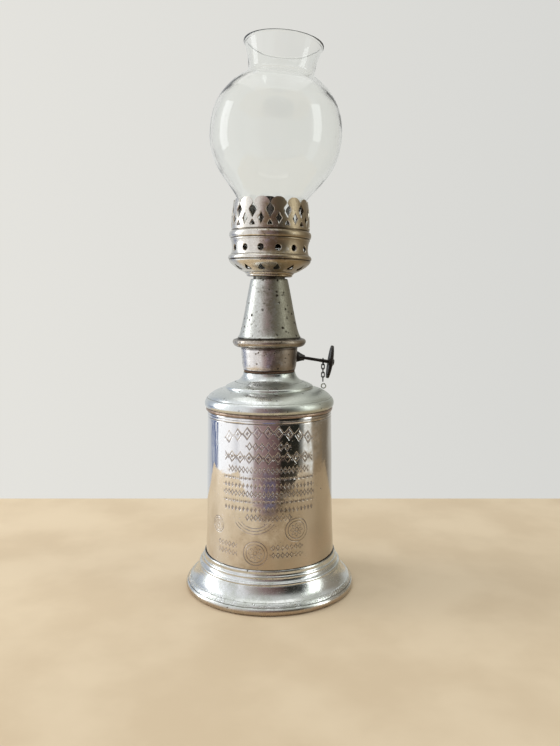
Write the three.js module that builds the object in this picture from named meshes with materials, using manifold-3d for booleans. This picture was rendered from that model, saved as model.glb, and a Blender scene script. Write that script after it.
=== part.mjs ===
// Small round-wick oil lamp in nickel-plated brass, with a ball chimney.
// Millimetres, +Z up. The origin is the centre of the foot's resting face.
import * as THREE from "three";
import { mergeVertices } from "three/addons/utils/BufferGeometryUtils.js";
import Module from "manifold-3d";

const wasm = await Module();
wasm.setup();

// Driving dimensions
const SHEET = 0.7; // sheet metal of the spun shells
const FOOT_R = 37.5; // widest radius of the foot's lip
const FOOT_TOP = 16.0; // where the foot's collar meets the reservoir wall
const BODY_R0 = 28.6; // reservoir wall at its bottom
const BODY_R1 = 27.3; // reservoir wall at its top
const BODY_TOP = 78.9;
const SEAM_TOP = 80.3;
const SHOULDER_R = 28.4;
const NECK_TOP = 95.6; // top of the fixed filler neck
const NECK_BORE = 9.7; // smooth stand-in for the neck's thread
const SPIGOT_R = 9.2; // burner's threaded spigot
const COLLAR_BOTTOM = 96.5;
const COLLAR_TOP = 106.4;
const FLANGE_TOP = 110.4;
const CONE_TOP = 136.6;
const TUBE_R = 4.0; // wick tube, outside
const TUBE_BORE = 3.25;
const TUBE_TOP = 171.0;
const TUBE_BOTTOM = 84.0;
const WICK_R = 2.9;
const WICK_TOP = 171.6;
const WICK_BOTTOM = 24.0;
const KEY_TILT = THREE.MathUtils.degToRad(9); // key spindle slopes down outwards
const KEY_Y = 5.7; // spindle passes behind the wick tube
const KEY_X = 27.4; // centre of the knob
const KEY_Z = 99.3;
const SPINDLE_R = 0.7;
const SPUR_R = 2.35;
const KNOB_R = 7.4;
const GALLERY_TILT = THREE.MathUtils.degToRad(1.3); // the gallery sits slightly askew
const GALLERY_Z = 137.0; // underside of the gallery's neck ring
const UNITS = 14; // petals round the gallery
const CHIMNEY_LEAN = THREE.MathUtils.degToRad(5.05); // the glass leans in its crown
const CHIMNEY_X = 0.22; // glass axis at z = 165
const GLASS = 1.3; // glass wall
const CHAIN_X = 24.0; // chain hangs here, beside the knob
const CHAIN_EYE = [24.3, KEY_Y, 88.5];

const root = new THREE.Group();

const looks = {
  nickel: { color: 0xa9aaa2, roughness: 0.28, metalness: 1 },
  tarnished: { color: 0x8b8c80, roughness: 0.42, metalness: 1 },
  worn: { color: 0x8d7a6a, roughness: 0.4, metalness: 1 },
  brass: { color: 0x9a7f48, roughness: 0.4, metalness: 1 },
  copper: { color: 0x8a5a3c, roughness: 0.45, metalness: 1 },
  dark: { color: 0x2b2723, roughness: 0.55, metalness: 0.8 },
  leather: { color: 0x4a3424, roughness: 0.8, metalness: 0 },
  felt: { color: 0xc9bfa6, roughness: 0.95, metalness: 0 },
  cotton: { color: 0xd8d0bd, roughness: 0.95, metalness: 0 },
  glass: { color: 0xe8ece6, roughness: 0.03, metalness: 0, transparent: true, opacity: 0.35 },
};

function addMesh(name, geometry, look, parent = root) {
  const mesh = new THREE.Mesh(geometry, new THREE.MeshStandardMaterial(looks[look]));
  mesh.name = name;
  parent.add(mesh);
  return mesh;
}

// Welds a geometry's vertices, and turns its faces out.
function welded(geometry) {
  let g = geometry.clone();
  g.deleteAttribute("normal");
  g.deleteAttribute("uv");
  g = mergeVertices(g, 1e-4);
  const p = g.attributes.position;
  const index = [];
  let volume = 0;
  const a = new THREE.Vector3(), b = new THREE.Vector3(), c = new THREE.Vector3();
  for (let i = 0; i < g.index.count; i += 3) {
    const [i0, i1, i2] = [g.index.getX(i), g.index.getX(i + 1), g.index.getX(i + 2)];
    if (i0 === i1 || i1 === i2 || i0 === i2) continue;
    index.push(i0, i1, i2);
    a.fromBufferAttribute(p, i0);
    b.fromBufferAttribute(p, i1);
    c.fromBufferAttribute(p, i2);
    volume += a.dot(b.cross(c));
  }
  if (volume < 0) for (let i = 0; i < index.length; i += 3) [index[i], index[i + 1]] = [index[i + 1], index[i]];
  g.setIndex(index);
  return g;
}

// A solid of revolution about Z from a closed (or axis-to-axis) list of [radius, height].
function revolved(profile, segments = 40, phase = 0) {
  const closed = profile[0][0] > 1e-6;
  const points = profile.map(([r, z]) => new THREE.Vector2(Math.max(r, 0), z));
  if (closed) points.push(points[0].clone());
  const g = new THREE.LatheGeometry(points, segments, phase);
  g.rotateX(Math.PI / 2);
  return welded(g);
}

// A ring between an outer and an inner line, both listed upwards.
const ring = (outer, inner, segments, phase) => revolved([...outer, ...[...inner].reverse()], segments, phase);

function solid(geometry) {
  const g = welded(geometry);
  return new wasm.Manifold(new wasm.Mesh({
    numProp: 3,
    vertProperties: new Float32Array(g.attributes.position.array),
    triVerts: new Uint32Array(g.index.array),
  }));
}

function geometryOf(manifold) {
  const m = manifold.getMesh();
  const g = new THREE.BufferGeometry();
  const xyz = new Float32Array(m.numVert * 3);
  for (let i = 0; i < m.numVert; i++) for (let k = 0; k < 3; k++) xyz[3 * i + k] = m.vertProperties[i * m.numProp + k];
  g.setAttribute("position", new THREE.BufferAttribute(xyz, 3));
  g.setIndex(new THREE.BufferAttribute(new Uint32Array(m.triVerts), 1));
  return g;
}

// A prism whose outline [sideways, up] faces outwards at an azimuth, spanning radii r0 to r1.
function radialPrism(outline, azimuth, r0, r1, z = 0, slope = 0) {
  const shape = new THREE.Shape(outline.map(([s, u]) => new THREE.Vector2(s, u)));
  const g = new THREE.ExtrudeGeometry(shape, { depth: r1 - r0, bevelEnabled: false });
  g.translate(0, 0, r0); // extrusion along +Z, outline in XY
  g.rotateY(Math.PI / 2); // extrusion now along +X, outline sideways along -Z
  g.rotateX(Math.PI / 2); // outline sideways along +Y, up along +Z
  g.rotateY(-slope);
  g.rotateZ(azimuth);
  g.translate(0, 0, z);
  return solid(g);
}

const circle = (r, n) => Array.from({ length: n }, (_, i) => [r * Math.cos((2 * Math.PI * i) / n), r * Math.sin((2 * Math.PI * i) / n)]);

// A frame whose +Z lies along a direction, for turned pieces that aren't upright.
function placed(geometry, at, direction) {
  const q = new THREE.Quaternion().setFromUnitVectors(new THREE.Vector3(0, 0, 1), direction.clone().normalize());
  geometry.applyQuaternion(q);
  geometry.translate(at.x, at.y, at.z);
  return geometry;
}

// ---------------------------------------------------------------- foot and reservoir
addMesh("foot_skirt", ring(
  [[34.6, 0], [36.6, 0], [37.3, 0.7], [FOOT_R, 1.7], [36.7, 3.6], [34.6, 5.2], [33.2, 6.9], [32.3, 8.4], [31.4, 10.4], [31.15, 11.3], [30.2, 12.5], [29.5, 14.2], [29.4, FOOT_TOP]],
  [[34.6, 1.0], [35.4, 2.6], [33.0, 5.3], [31.9, 7.0], [30.2, 10.4], [BODY_R0 + 0.2, 12.4], [BODY_R0 + 0.2, FOOT_TOP]],
  36), "tarnished");

// Recessed disc that closes the bottom, with two swaged rings.
addMesh("base_plate", revolved(
  [[0, 2.0], [21.5, 2.0], [22.5, 1.5], [23.5, 2.0], [32.4, 2.0], [33.9, 1.2], [34.3, 1.2], [34.3, 1.9], [32.9, 2.7], [0, 2.7]],
  36), "brass");

addMesh("reservoir_body", ring(
  [[BODY_R0, 12.9], [28.4, 20], [28.0, 32], [27.7, 52], [BODY_R1, 73.2], [27.12, 73.5], [BODY_R1, 73.8], [BODY_R1, BODY_TOP]],
  [[BODY_R0 - SHEET, 12.9], [28.0 - SHEET, 30], [27.7 - SHEET, 52], [BODY_R1 - SHEET, 73], [BODY_R1 - SHEET, BODY_TOP]],
  36), "nickel");

addMesh("seam_ring", ring(
  [[26.5, BODY_TOP + 0.1], [27.6, BODY_TOP + 0.1], [27.85, BODY_TOP + 0.6], [27.7, SEAM_TOP]],
  [[26.5, SEAM_TOP]], 36), "copper");

addMesh("shoulder_dome", ring(
  [[26.6, SEAM_TOP + 0.1], [27.7, SEAM_TOP + 0.1], [SHOULDER_R, 82.2], [28.1, 83.8], [26.5, 85.7], [24.2, 87.4], [22.0, 88.3], [19.5, 88.8], [18.7, 90.0], [17.6, 90.6], [14.9, 91.4]],
  [[26.6, 80.9], [27.6, 82.2], [27.3, 83.5], [25.0, 85.9], [21.7, 87.6], [18.9, 88.2], [17.3, 89.7], [14.9, 90.5]],
  36), "tarnished");

// Flared neck soldered into the shoulder. Its bore carries the burner's thread.
addMesh("filler_neck", ring(
  [[10.6, 84.5], [13.4, 90.0], [14.7, 90.6], [14.7, 91.5], [13.4, 92.6], [11.8, 94.3], [11.3, NECK_TOP]],
  [[NECK_BORE, 84.5], [NECK_BORE, NECK_TOP]],
  28), "tarnished");

// Absorbent filling, and the gauze well that keeps it off the wick.
addMesh("wadding", ring([[27.0, 13.4], [26.3, 76.0]], [[7.8, 13.4], [7.8, 76.0]], 32), "felt");
addMesh("gauze_well", revolved([[0, 12.6], [7.4, 12.6], [7.4, 83.6], [8.8, 84.1], [8.8, 84.4], [7.0, 84.4], [7.0, 13.0], [0, 13.0]], 24), "brass");

// ---------------------------------------------------------------- burner
addMesh("collar_gasket", ring([[11.1, NECK_TOP + 0.1], [11.1, COLLAR_BOTTOM - 0.1]], [[SPIGOT_R + 0.35, NECK_TOP + 0.1], [SPIGOT_R + 0.35, COLLAR_BOTTOM - 0.1]], 28), "leather");

const axis = new THREE.Vector3(Math.cos(KEY_TILT), 0, -Math.sin(KEY_TILT)); // outwards along the key
const onKey = (x) => new THREE.Vector3(x, KEY_Y, KEY_Z + (KEY_X - x) * Math.tan(KEY_TILT));
const rod = (r, x0, x1, n = 12) => {
  const p0 = onKey(x0), p1 = onKey(x1);
  return placed(revolved([[0, 0], [r, 0], [r, p0.distanceTo(p1)], [0, p0.distanceTo(p1)]], n), p0, axis);
};

// Collar band with its threaded spigot below. The key passes out through its side.
const collarRing = solid(ring(
  [[SPIGOT_R, 86.0], [SPIGOT_R, COLLAR_BOTTOM], [11.3, COLLAR_BOTTOM], [11.9, 99.4], [12.35, 104.4], [12.35, COLLAR_TOP]],
  [[8.2, 86.0], [8.2, COLLAR_BOTTOM + 1.0], [10.9, COLLAR_BOTTOM + 1.6], [10.9, COLLAR_TOP]],
  28)).subtract(solid(rod(1.75, 6, 15, 16)));
addMesh("burner_collar", geometryOf(collarRing), "worn");

addMesh("burner_flange", ring(
  [[12.6, COLLAR_TOP + 0.1], [14.9, 107.1], [15.7, 107.9], [16.05, 108.8], [15.7, 109.8], [14.4, FLANGE_TOP]],
  [[5.2, COLLAR_TOP + 0.1], [5.2, COLLAR_TOP + 1.0], [11.0, COLLAR_TOP + 1.2], [12.2, FLANGE_TOP]],
  32), "worn");

addMesh("burner_cone", ring(
  [[13.8, FLANGE_TOP + 0.1], [13.1, 112.6], [11.8, 116.4], [10.6, 121.0], [9.6, 126.6], [8.7, 132.4], [8.0, CONE_TOP], [6.9, CONE_TOP], [6.9, 142.6]],
  [[12.9, FLANGE_TOP + 0.1], [10.9, 116.6], [9.5, 122.8], [8.2, 129.5], [6.3, 135.6], [6.3, 142.6]],
  28), "nickel");

// Wick tube, with the slot that lets the spur wheel reach the wick.
const spurAt = onKey(0);
const tube = solid(ring([[TUBE_R, TUBE_BOTTOM], [TUBE_R, TUBE_TOP - 0.6], [TUBE_R - 0.25, TUBE_TOP]], [[TUBE_BORE, TUBE_BOTTOM], [TUBE_BORE, TUBE_TOP]], 24));
const slot = new THREE.BoxGeometry(3.4, 3.0, 8.0);
slot.translate(0, TUBE_R, spurAt.z);
addMesh("wick_tube", geometryOf(tube.subtract(solid(slot))), "dark");

// Washer that centres the tube on the flange's web.
addMesh("tube_washer", ring([[7.4, COLLAR_TOP + 1.35], [7.4, COLLAR_TOP + 2.2]], [[TUBE_R + 0.15, COLLAR_TOP + 1.35], [TUBE_R + 0.15, COLLAR_TOP + 2.2]], 28), "brass");

// Conical gland where the key leaves the collar, and the packing inside it.
const gland = solid(placed(revolved([[0.95, 0], [2.35, 0], [2.35, 1.0], [1.15, 4.2], [0.95, 4.2]], 20), onKey(11.6), axis));
const collarKeepOut = solid(revolved([[0, 90], [12.62, 90], [12.62, 112], [0, 112]], 40));
addMesh("key_gland", geometryOf(gland.subtract(collarKeepOut)), "dark");
addMesh("gland_packing", placed(revolved([[0.9, 0], [1.55, 0], [1.55, 1.3], [0.9, 1.3]], 16), onKey(9.2), axis), "cotton");

// Bracket soldered to the tube, which carries the spindle's inner end.
const bracketAt = onKey(-3.4);
const bracketShape = new THREE.Shape([new THREE.Vector2(-1.6, -1.6), new THREE.Vector2(1.6, -1.6), new THREE.Vector2(1.6, 1.6), new THREE.Vector2(-1.6, 1.6)]);
const bracketHole = new THREE.Path();
bracketHole.absarc(0, 0, SPINDLE_R + 0.08, 0, 2 * Math.PI, true);
bracketShape.holes.push(bracketHole);
const bracket = placed(new THREE.ExtrudeGeometry(bracketShape, { depth: 0.8, bevelEnabled: false, curveSegments: 16 }), bracketAt, axis);
addMesh("spindle_bracket", welded(bracket), "brass");

// ---------------------------------------------------------------- wick key
addMesh("key_spindle", rod(SPINDLE_R, -3.4, KEY_X + 0.7, 14), "dark");

// Spur wheel: a bored star of twelve teeth.
const teeth = 12;
const star = [];
for (let i = 0; i < teeth * 2; i++) {
  const r = i % 2 ? SPUR_R - 0.6 : SPUR_R;
  const a = (Math.PI * i) / teeth;
  star.push(new THREE.Vector2(r * Math.cos(a), r * Math.sin(a)));
}
const starShape = new THREE.Shape(star);
const starHole = new THREE.Path();
starHole.absarc(0, 0, SPINDLE_R + 0.1, 0, 2 * Math.PI, true);
starShape.holes.push(starHole);
const spur = new THREE.ExtrudeGeometry(starShape, { depth: 1.4, bevelEnabled: false, curveSegments: 16 });
addMesh("spur_wheel", welded(placed(spur, onKey(-0.7), axis)), "brass");

// Dished milled knob, its hollow side towards the neck, riveted on the spindle's end.
addMesh("key_knob", placed(revolved(
  [[0.85, 0], [1.6, 0], [1.9, 0.7], [4.2, 0.9], [6.8, 0.2], [KNOB_R, 0.3], [KNOB_R, 0.9], [6.6, 1.3], [4.0, 1.75], [0.85, 1.75]], 30), onKey(KEY_X - 0.9), axis), "dark");
addMesh("knob_rivet", placed(revolved([[0, 0], [1.5, 0], [1.35, 0.35], [0.8, 0.6], [0, 0.68]], 16), onKey(KEY_X + 1.0), axis), "dark");

// Loose ring round the spindle, from which the chain hangs.
function linkRing(major, minor, n = 16, m = 8) {
  const g = new THREE.TorusGeometry(major, minor, m, n);
  return welded(g);
}
const chainTop = onKey(CHAIN_X);
const ringZ = chainTop.z - 0.45;
const hanger = linkRing(1.5, 0.28, 16, 6);
hanger.rotateY(Math.PI / 2);
hanger.translate(chainTop.x, chainTop.y, ringZ);
addMesh("chain_ring", hanger, "dark");

// Oval links, each turned a quarter from the last.
const LINKS = 4;
const LINK_L = 2.9, LINK_W = 1.75, LINK_WIRE = 0.23;
const linkPitch = LINK_L - 4 * LINK_WIRE - 0.14;
const firstLinkTop = ringZ - 1.5 + 0.28 + 2 * LINK_WIRE + 0.08;
for (let i = 0; i < LINKS; i++) {
  const major = LINK_L / 2 - LINK_WIRE, width = LINK_W / 2 - LINK_WIRE;
  const g = new THREE.TorusGeometry(width, LINK_WIRE, 6, 12);
  const p = g.attributes.position;
  for (let k = 0; k < p.count; k++) {
    const y = p.getY(k);
    p.setY(k, y + Math.sign(Math.round(y * 1e4)) * (major - width));
  }
  g.rotateX(Math.PI / 2);
  if (i % 2) g.rotateZ(Math.PI / 2);
  g.translate(chainTop.x, chainTop.y, firstLinkTop - LINK_L / 2 - i * linkPitch);
  addMesh(`chain_link_${i + 1}`, welded(g), "dark");
}

// ---------------------------------------------------------------- wick
addMesh("wick", revolved([[0, WICK_BOTTOM], [WICK_R, WICK_BOTTOM], [WICK_R, WICK_TOP - 0.5], [WICK_R - 0.5, WICK_TOP], [0, WICK_TOP]], 20), "cotton");

// ---------------------------------------------------------------- gallery
const gallery = new THREE.Group();
gallery.position.set(0.1, 0, GALLERY_Z);
gallery.rotation.y = GALLERY_TILT;
root.add(gallery);
const G = (z) => z - GALLERY_Z;
const lift = (list) => list.map(([r, z]) => [r, G(z)]);

addMesh("gallery_neck_ring", ring(
  lift([[9.0, 137.0], [9.9, 137.3], [10.7, 139.2]]),
  lift([[7.25, 137.0], [7.25, 139.2]]), 28), "nickel", gallery);

// Pierced bowl, open in the middle for the wick tube.
const bowl = solid(ring(
  lift([[7.25, 139.4], [10.8, 139.4], [14.4, 141.5], [17.2, 143.4], [18.05, 144.9]]),
  lift([[7.25, 140.1], [10.6, 140.1], [14.0, 142.1], [16.6, 143.9], [17.1, 144.9]]), 28));
let bowlCut = bowl;
const drop = [[0, 2.3], [1.4, -0.1], [0.8, -1.2], [-0.8, -1.2], [-1.4, -0.1]];
for (let i = 0; i < UNITS; i++) {
  const az = ((i + 0.5) * 2 * Math.PI) / UNITS - Math.PI / 2;
  const g = new THREE.ExtrudeGeometry(new THREE.Shape(drop.map(([s, u]) => new THREE.Vector2(s, u))), { depth: 4, bevelEnabled: false });
  g.translate(0, 0, -2);
  g.rotateZ(-Math.PI / 2); // point along +X
  g.rotateY(-Math.PI / 6); // follow the bowl's slope
  g.translate(14.0, 0, G(141.6));
  g.rotateZ(az);
  bowlCut = bowlCut.subtract(solid(g));
}
addMesh("gallery_bowl", geometryOf(bowlCut), "nickel", gallery);

// Waist band with round holes, upper bead, and the crown of petals.
let crown = solid(ring(
  lift([[17.3, 145.1], [18.05, 145.2], [16.6, 147.2], [16.6, 152.0], [17.65, 155.0], [16.95, 157.2], [16.3, 168.9]]),
  lift([[16.7, 145.1], [15.9, 147.2], [15.9, 152.0], [16.3, 154.8], [15.6, 168.9]]), 28));
for (let i = 0; i < UNITS; i++) {
  const between = (i * 2 * Math.PI) / UNITS - Math.PI / 2;
  const middle = between + Math.PI / UNITS;
  // Pinched gap between two petals, opening at the top.
  crown = crown.subtract(radialPrism([[0, -3.6], [1.1, -0.4], [0.45, 2.5], [2.4, 6.5], [-2.4, 6.5], [-0.45, 2.5], [-1.1, -0.4]], between, 13, 19, G(164.0)));
  // Three-sided hole below it.
  crown = crown.subtract(radialPrism([[0, 1.4], [1.0, -0.7], [-1.0, -0.7]], between, 13, 19, G(158.6)));
  // Lozenge in the petal, and the round hole in the waist.
  crown = crown.subtract(radialPrism([[0, 2.3], [1.35, 0], [0, -2.3], [-1.35, 0]], middle, 13, 19, G(160.9)));
  crown = crown.subtract(radialPrism(circle(1.35, 7), middle, 13, 19, G(149.5)));
}
addMesh("gallery_crown", geometryOf(crown), "nickel", gallery);

// ---------------------------------------------------------------- chimney
const chimney = new THREE.Group();
chimney.position.set(CHIMNEY_X, 0, 165);
chimney.rotation.y = CHIMNEY_LEAN;
root.add(chimney);
const glassOut = [[13.6, -16.6], [13.6, 1.6], [14.4, 4.4], [18.8, 10.1], [23.6, 16.2], [26.9, 22.8], [27.95, 29.8], [27.4, 37.4], [25.4, 44.4], [21.4, 50.0], [16.6, 54.6], [13.95, 57.6], [14.6, 62.5], [16.72, 69.0]];
const glassIn = [[13.6 - GLASS, -16.6], [13.6 - GLASS, 2.0], [13.4, 5.2], [17.8, 11.0], [22.5, 17.0], [25.7, 23.4], [26.65, 29.8], [26.1, 37.1], [24.2, 43.8], [20.4, 49.1], [15.6, 53.7], [12.75, 57.4], [13.4, 62.6], [15.5, 69.0]];
addMesh("chimney_glass", ring(glassOut, glassIn, 32), "glass", chimney);

// Wire eyelet on the shoulder that ends the chain.
const eye = linkRing(1.0, 0.27, 12, 6);
eye.rotateX(Math.PI / 2);
eye.translate(CHAIN_EYE[0], CHAIN_EYE[1], CHAIN_EYE[2]);
const shoulderKeepOut = solid(revolved([[0, 80], [28.6, 80], [28.6, 83.8], [26.65, 85.95], [24.35, 87.6], [22.0, 88.5], [19.5, 89.0], [0, 89.0]], 36));
addMesh("shoulder_eyelet", geometryOf(solid(eye).subtract(shoulderKeepOut)), "dark");

export default root;
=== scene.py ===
import math

import bmesh
import bpy
from mathutils import Matrix, Vector


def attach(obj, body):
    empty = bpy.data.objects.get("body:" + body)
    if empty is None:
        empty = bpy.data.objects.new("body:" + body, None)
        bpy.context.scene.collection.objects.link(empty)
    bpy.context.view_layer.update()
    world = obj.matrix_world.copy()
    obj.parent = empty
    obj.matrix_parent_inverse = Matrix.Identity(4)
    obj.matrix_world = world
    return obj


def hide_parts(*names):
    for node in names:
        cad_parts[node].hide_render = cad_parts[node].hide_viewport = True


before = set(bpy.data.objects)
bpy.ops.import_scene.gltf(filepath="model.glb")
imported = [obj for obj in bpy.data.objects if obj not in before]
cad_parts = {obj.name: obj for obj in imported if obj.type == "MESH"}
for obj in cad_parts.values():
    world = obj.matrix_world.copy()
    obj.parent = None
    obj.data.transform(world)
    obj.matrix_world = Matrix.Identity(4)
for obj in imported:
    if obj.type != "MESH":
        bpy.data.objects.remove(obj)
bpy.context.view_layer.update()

U = 0.001  # every list below is in millimetres
scene = bpy.context.scene

# ------------------------------------------------------------------ camera
cam_data = bpy.data.cameras.new("camera")
cam_data.sensor_width = 36.0
cam_data.lens = 33.80
cam_data.clip_start, cam_data.clip_end = 0.01, 50
cam = bpy.data.objects.new("camera", cam_data)
cam.location = (0.00471, -0.3073, 0.1276)
cam.rotation_euler = (math.radians(90 - 6.07), 0, 0)
scene.collection.objects.link(cam)
scene.camera = cam
scene.view_settings.view_transform = "Standard"
scene.view_settings.look = "None"


# ------------------------------------------------------------------ mesh tools
def catmull(points, step=0.35, alpha=0.5):
    """A smooth line through the points, resampled about every step."""
    if len(points) < 3:
        return list(points)
    P = [Vector((*p, 0)) for p in points]
    P = [P[0] * 2 - P[1]] + P + [P[-1] * 2 - P[-2]]
    out = []
    for i in range(1, len(P) - 2):
        p0, p1, p2, p3 = P[i - 1 : i + 3]
        t0 = 0.0
        t1 = t0 + max((p1 - p0).length, 1e-6) ** alpha
        t2 = t1 + max((p2 - p1).length, 1e-6) ** alpha
        t3 = t2 + max((p3 - p2).length, 1e-6) ** alpha
        n = max(2, math.ceil((p2 - p1).length / step))
        for k in range(n):
            t = t1 + (t2 - t1) * k / n
            a1 = p0 * ((t1 - t) / (t1 - t0)) + p1 * ((t - t0) / (t1 - t0))
            a2 = p1 * ((t2 - t) / (t2 - t1)) + p2 * ((t - t1) / (t2 - t1))
            a3 = p2 * ((t3 - t) / (t3 - t2)) + p3 * ((t - t2) / (t3 - t2))
            b1 = a1 * ((t2 - t) / (t2 - t0)) + a2 * ((t - t0) / (t2 - t0))
            b2 = a2 * ((t3 - t) / (t3 - t1)) + a3 * ((t - t1) / (t3 - t1))
            c = b1 * ((t2 - t) / (t2 - t1)) + b2 * ((t - t1) / (t2 - t1))
            out.append((c.x, c.y))
    out.append(tuple(points[-1]))
    return out


def line(*sections, step=0.35):
    """Joins smooth sections end to end; each is a list of (radius, height)."""
    out = []
    for s in sections:
        pts = catmull(s, step)
        out += pts if not out else pts[1:]
    return out


def bead(r, z, size, a0, a1, n=8):
    """Part of a circle in the profile plane."""
    return [(r + size * math.cos(math.radians(a0 + (a1 - a0) * i / n)), z + size * math.sin(math.radians(a0 + (a1 - a0) * i / n))) for i in range(n + 1)]


def finish_mesh(me, angle=32):
    bm = bmesh.new()
    bm.from_mesh(me)
    bmesh.ops.remove_doubles(bm, verts=bm.verts, dist=2e-7)
    bmesh.ops.dissolve_degenerate(bm, dist=1e-7, edges=bm.edges)
    bmesh.ops.recalc_face_normals(bm, faces=bm.faces)
    if bm.calc_volume(signed=True) < 0:
        bmesh.ops.reverse_faces(bm, faces=bm.faces)
    bm.to_mesh(me)
    bm.free()
    me.shade_smooth()
    me.set_sharp_from_angle(angle=math.radians(angle))


def new_object(name, verts, faces, angle=32, matrix=None, material=None):
    me = bpy.data.meshes.new(name)
    me.from_pydata(verts, [], faces)
    if matrix is not None:
        me.transform(matrix)
    finish_mesh(me, angle)
    o = bpy.data.objects.new(name, me)
    scene.collection.objects.link(o)
    if material is not None:
        me.materials.append(material)
    return o


def lathe(name, profile, segments=160, angle=32, matrix=None, material=None, wobble=None):
    """A solid of revolution from a closed profile, or one that starts and ends on the axis."""
    pts = [p for i, p in enumerate(profile) if i == 0 or (abs(p[0] - profile[i - 1][0]) + abs(p[1] - profile[i - 1][1])) > 1e-4]
    on_axis = pts[0][0] < 1e-4 and pts[-1][0] < 1e-4
    if not on_axis and abs(pts[0][0] - pts[-1][0]) + abs(pts[0][1] - pts[-1][1]) < 1e-4:
        pts = pts[:-1]
    verts, rows = [], []
    for r, z in pts:
        if r < 1e-4:
            rows.append([len(verts)])
            verts.append((0, 0, z * U))
            continue
        row = []
        for k in range(segments):
            a = 2 * math.pi * k / segments
            rr = r + (wobble(r, z, a) if wobble else 0)
            row.append(len(verts))
            verts.append((rr * U * math.cos(a), rr * U * math.sin(a), z * U))
        rows.append(row)
    faces = []
    pairs = list(zip(rows, rows[1:])) + ([] if on_axis else [(rows[-1], rows[0])])
    for a, b in pairs:
        for k in range(segments):
            m = (k + 1) % segments
            if len(a) == 1 and len(b) == 1:
                continue
            if len(a) == 1:
                faces.append((a[0], b[k], b[m]))
            elif len(b) == 1:
                faces.append((a[k], a[m], b[0]))
            else:
                faces.append((a[k], a[m], b[m], b[k]))
    return new_object(name, verts, faces, angle, matrix, material)


def shell(outer, inner):
    """A closed ring profile from two lines that both run upwards."""
    return list(outer) + list(reversed(inner))


def prism(outline, matrix, depth0, depth1):
    """Vertices and faces of a prism whose outline lies in XY."""
    n = len(outline)
    v = [(x, y, depth0) for x, y in outline] + [(x, y, depth1) for x, y in outline]
    f = [tuple(reversed(range(n))), tuple(range(n, 2 * n))] + [(i, (i + 1) % n, n + (i + 1) % n, n + i) for i in range(n)]
    return [matrix @ Vector(p) for p in v], f


def offset_outline(outline, amount):
    """Moves each point of a closed outline outwards by amount."""
    n = len(outline)
    area2 = sum(outline[i][0] * outline[(i + 1) % n][1] - outline[(i + 1) % n][0] * outline[i][1] for i in range(n))
    sign = 1.0 if area2 > 0 else -1.0
    out = []
    for i in range(n):
        (x0, y0), (x1, y1), (x2, y2) = outline[i - 1], outline[i], outline[(i + 1) % n]
        a = Vector((y1 - y0, x0 - x1)).normalized() * sign
        b = Vector((y2 - y1, x1 - x2)).normalized() * sign
        m = a + b
        m = m.normalized() if m.length > 1e-6 else a
        k = min(1.6, 1.0 / max(0.3, m.dot(a)))
        out.append((x1 + m.x * amount * k, y1 + m.y * amount * k))
    return out


def stepped(outline, matrix, depths):
    """A cutter made of levels (depth, how far the outline is widened there)."""
    n = len(outline)
    v, f = [], []
    for depth, grow in depths:
        ring = offset_outline(outline, grow) if grow else outline
        v += [matrix @ Vector((x, y, depth)) for x, y in ring]
    for k in range(len(depths) - 1):
        f += [(k * n + i, k * n + (i + 1) % n, (k + 1) * n + (i + 1) % n, (k + 1) * n + i) for i in range(n)]
    last = (len(depths) - 1) * n
    f += [tuple(reversed(range(n))), tuple(last + i for i in range(n))]
    return v, f


def cutter(name, prisms, slots=()):
    verts, faces = [], []
    for v, f in prisms:
        base = len(verts)
        verts += [tuple(p * U) for p in v]
        faces += [tuple(base + i for i in face) for face in f]
    me = bpy.data.meshes.new(name)
    me.from_pydata(verts, [], faces)
    for m in slots:
        me.materials.append(m)
    if slots:
        for p in me.polygons:
            p.material_index = len(slots) - 1
    bm = bmesh.new()
    bm.from_mesh(me)
    bmesh.ops.recalc_face_normals(bm, faces=bm.faces)
    bm.to_mesh(me)
    bm.free()
    o = bpy.data.objects.new(name, me)
    scene.collection.objects.link(o)
    return o


def cut(obj, tool, angle=32):
    """Subtracts tool from obj, applied to the mesh."""
    mod = obj.modifiers.new("cut", "BOOLEAN")
    mod.operation, mod.solver, mod.object, mod.material_mode = "DIFFERENCE", "EXACT", tool, "INDEX"
    bpy.context.view_layer.update()
    done = bpy.data.meshes.new_from_object(obj.evaluated_get(bpy.context.evaluated_depsgraph_get()))
    obj.modifiers.clear()
    old = obj.data
    done.name = old.name + "_cut"
    mats = [m for m in old.materials]
    extra = [m for m in tool.data.materials if m not in mats]
    index = [p.material_index for p in done.polygons]
    obj.data = done
    done.materials.clear()
    for m in mats + extra:
        done.materials.append(m)
    for p, i in zip(done.polygons, index):
        p.material_index = min(i, len(mats + extra) - 1)
    bpy.data.meshes.remove(old)
    bpy.data.objects.remove(tool)
    finish_mesh(done, angle)
    return obj


def swept_ring(name, path, radius, sides=14, matrix=None, material=None, closed=True):
    """A round wire along a closed or open path."""
    n = len(path)
    P = [Vector(p) for p in path]
    verts, faces = [], []
    up = None
    for i in range(n):
        if closed:
            t = (P[(i + 1) % n] - P[i - 1]).normalized()
        else:
            t = (P[min(i + 1, n - 1)] - P[max(i - 1, 0)]).normalized()
        if up is None:
            up = t.orthogonal().normalized()
        up = (up - t * up.dot(t)).normalized()
        side = t.cross(up)
        for k in range(sides):
            a = 2 * math.pi * k / sides
            verts.append(tuple((P[i] + (up * math.cos(a) + side * math.sin(a)) * radius) * U))
    # closed planar paths keep their frame, so the last row joins the first without a twist
    for i in range(n if closed else n - 1):
        for k in range(sides):
            j, m = (i + 1) % n, (k + 1) % sides
            faces.append((i * sides + k, i * sides + m, j * sides + m, j * sides + k))
    if not closed:
        faces += [tuple(reversed(range(sides))), tuple((n - 1) * sides + k for k in range(sides))]
    return new_object(name, verts, faces, 60, matrix, material)


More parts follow.
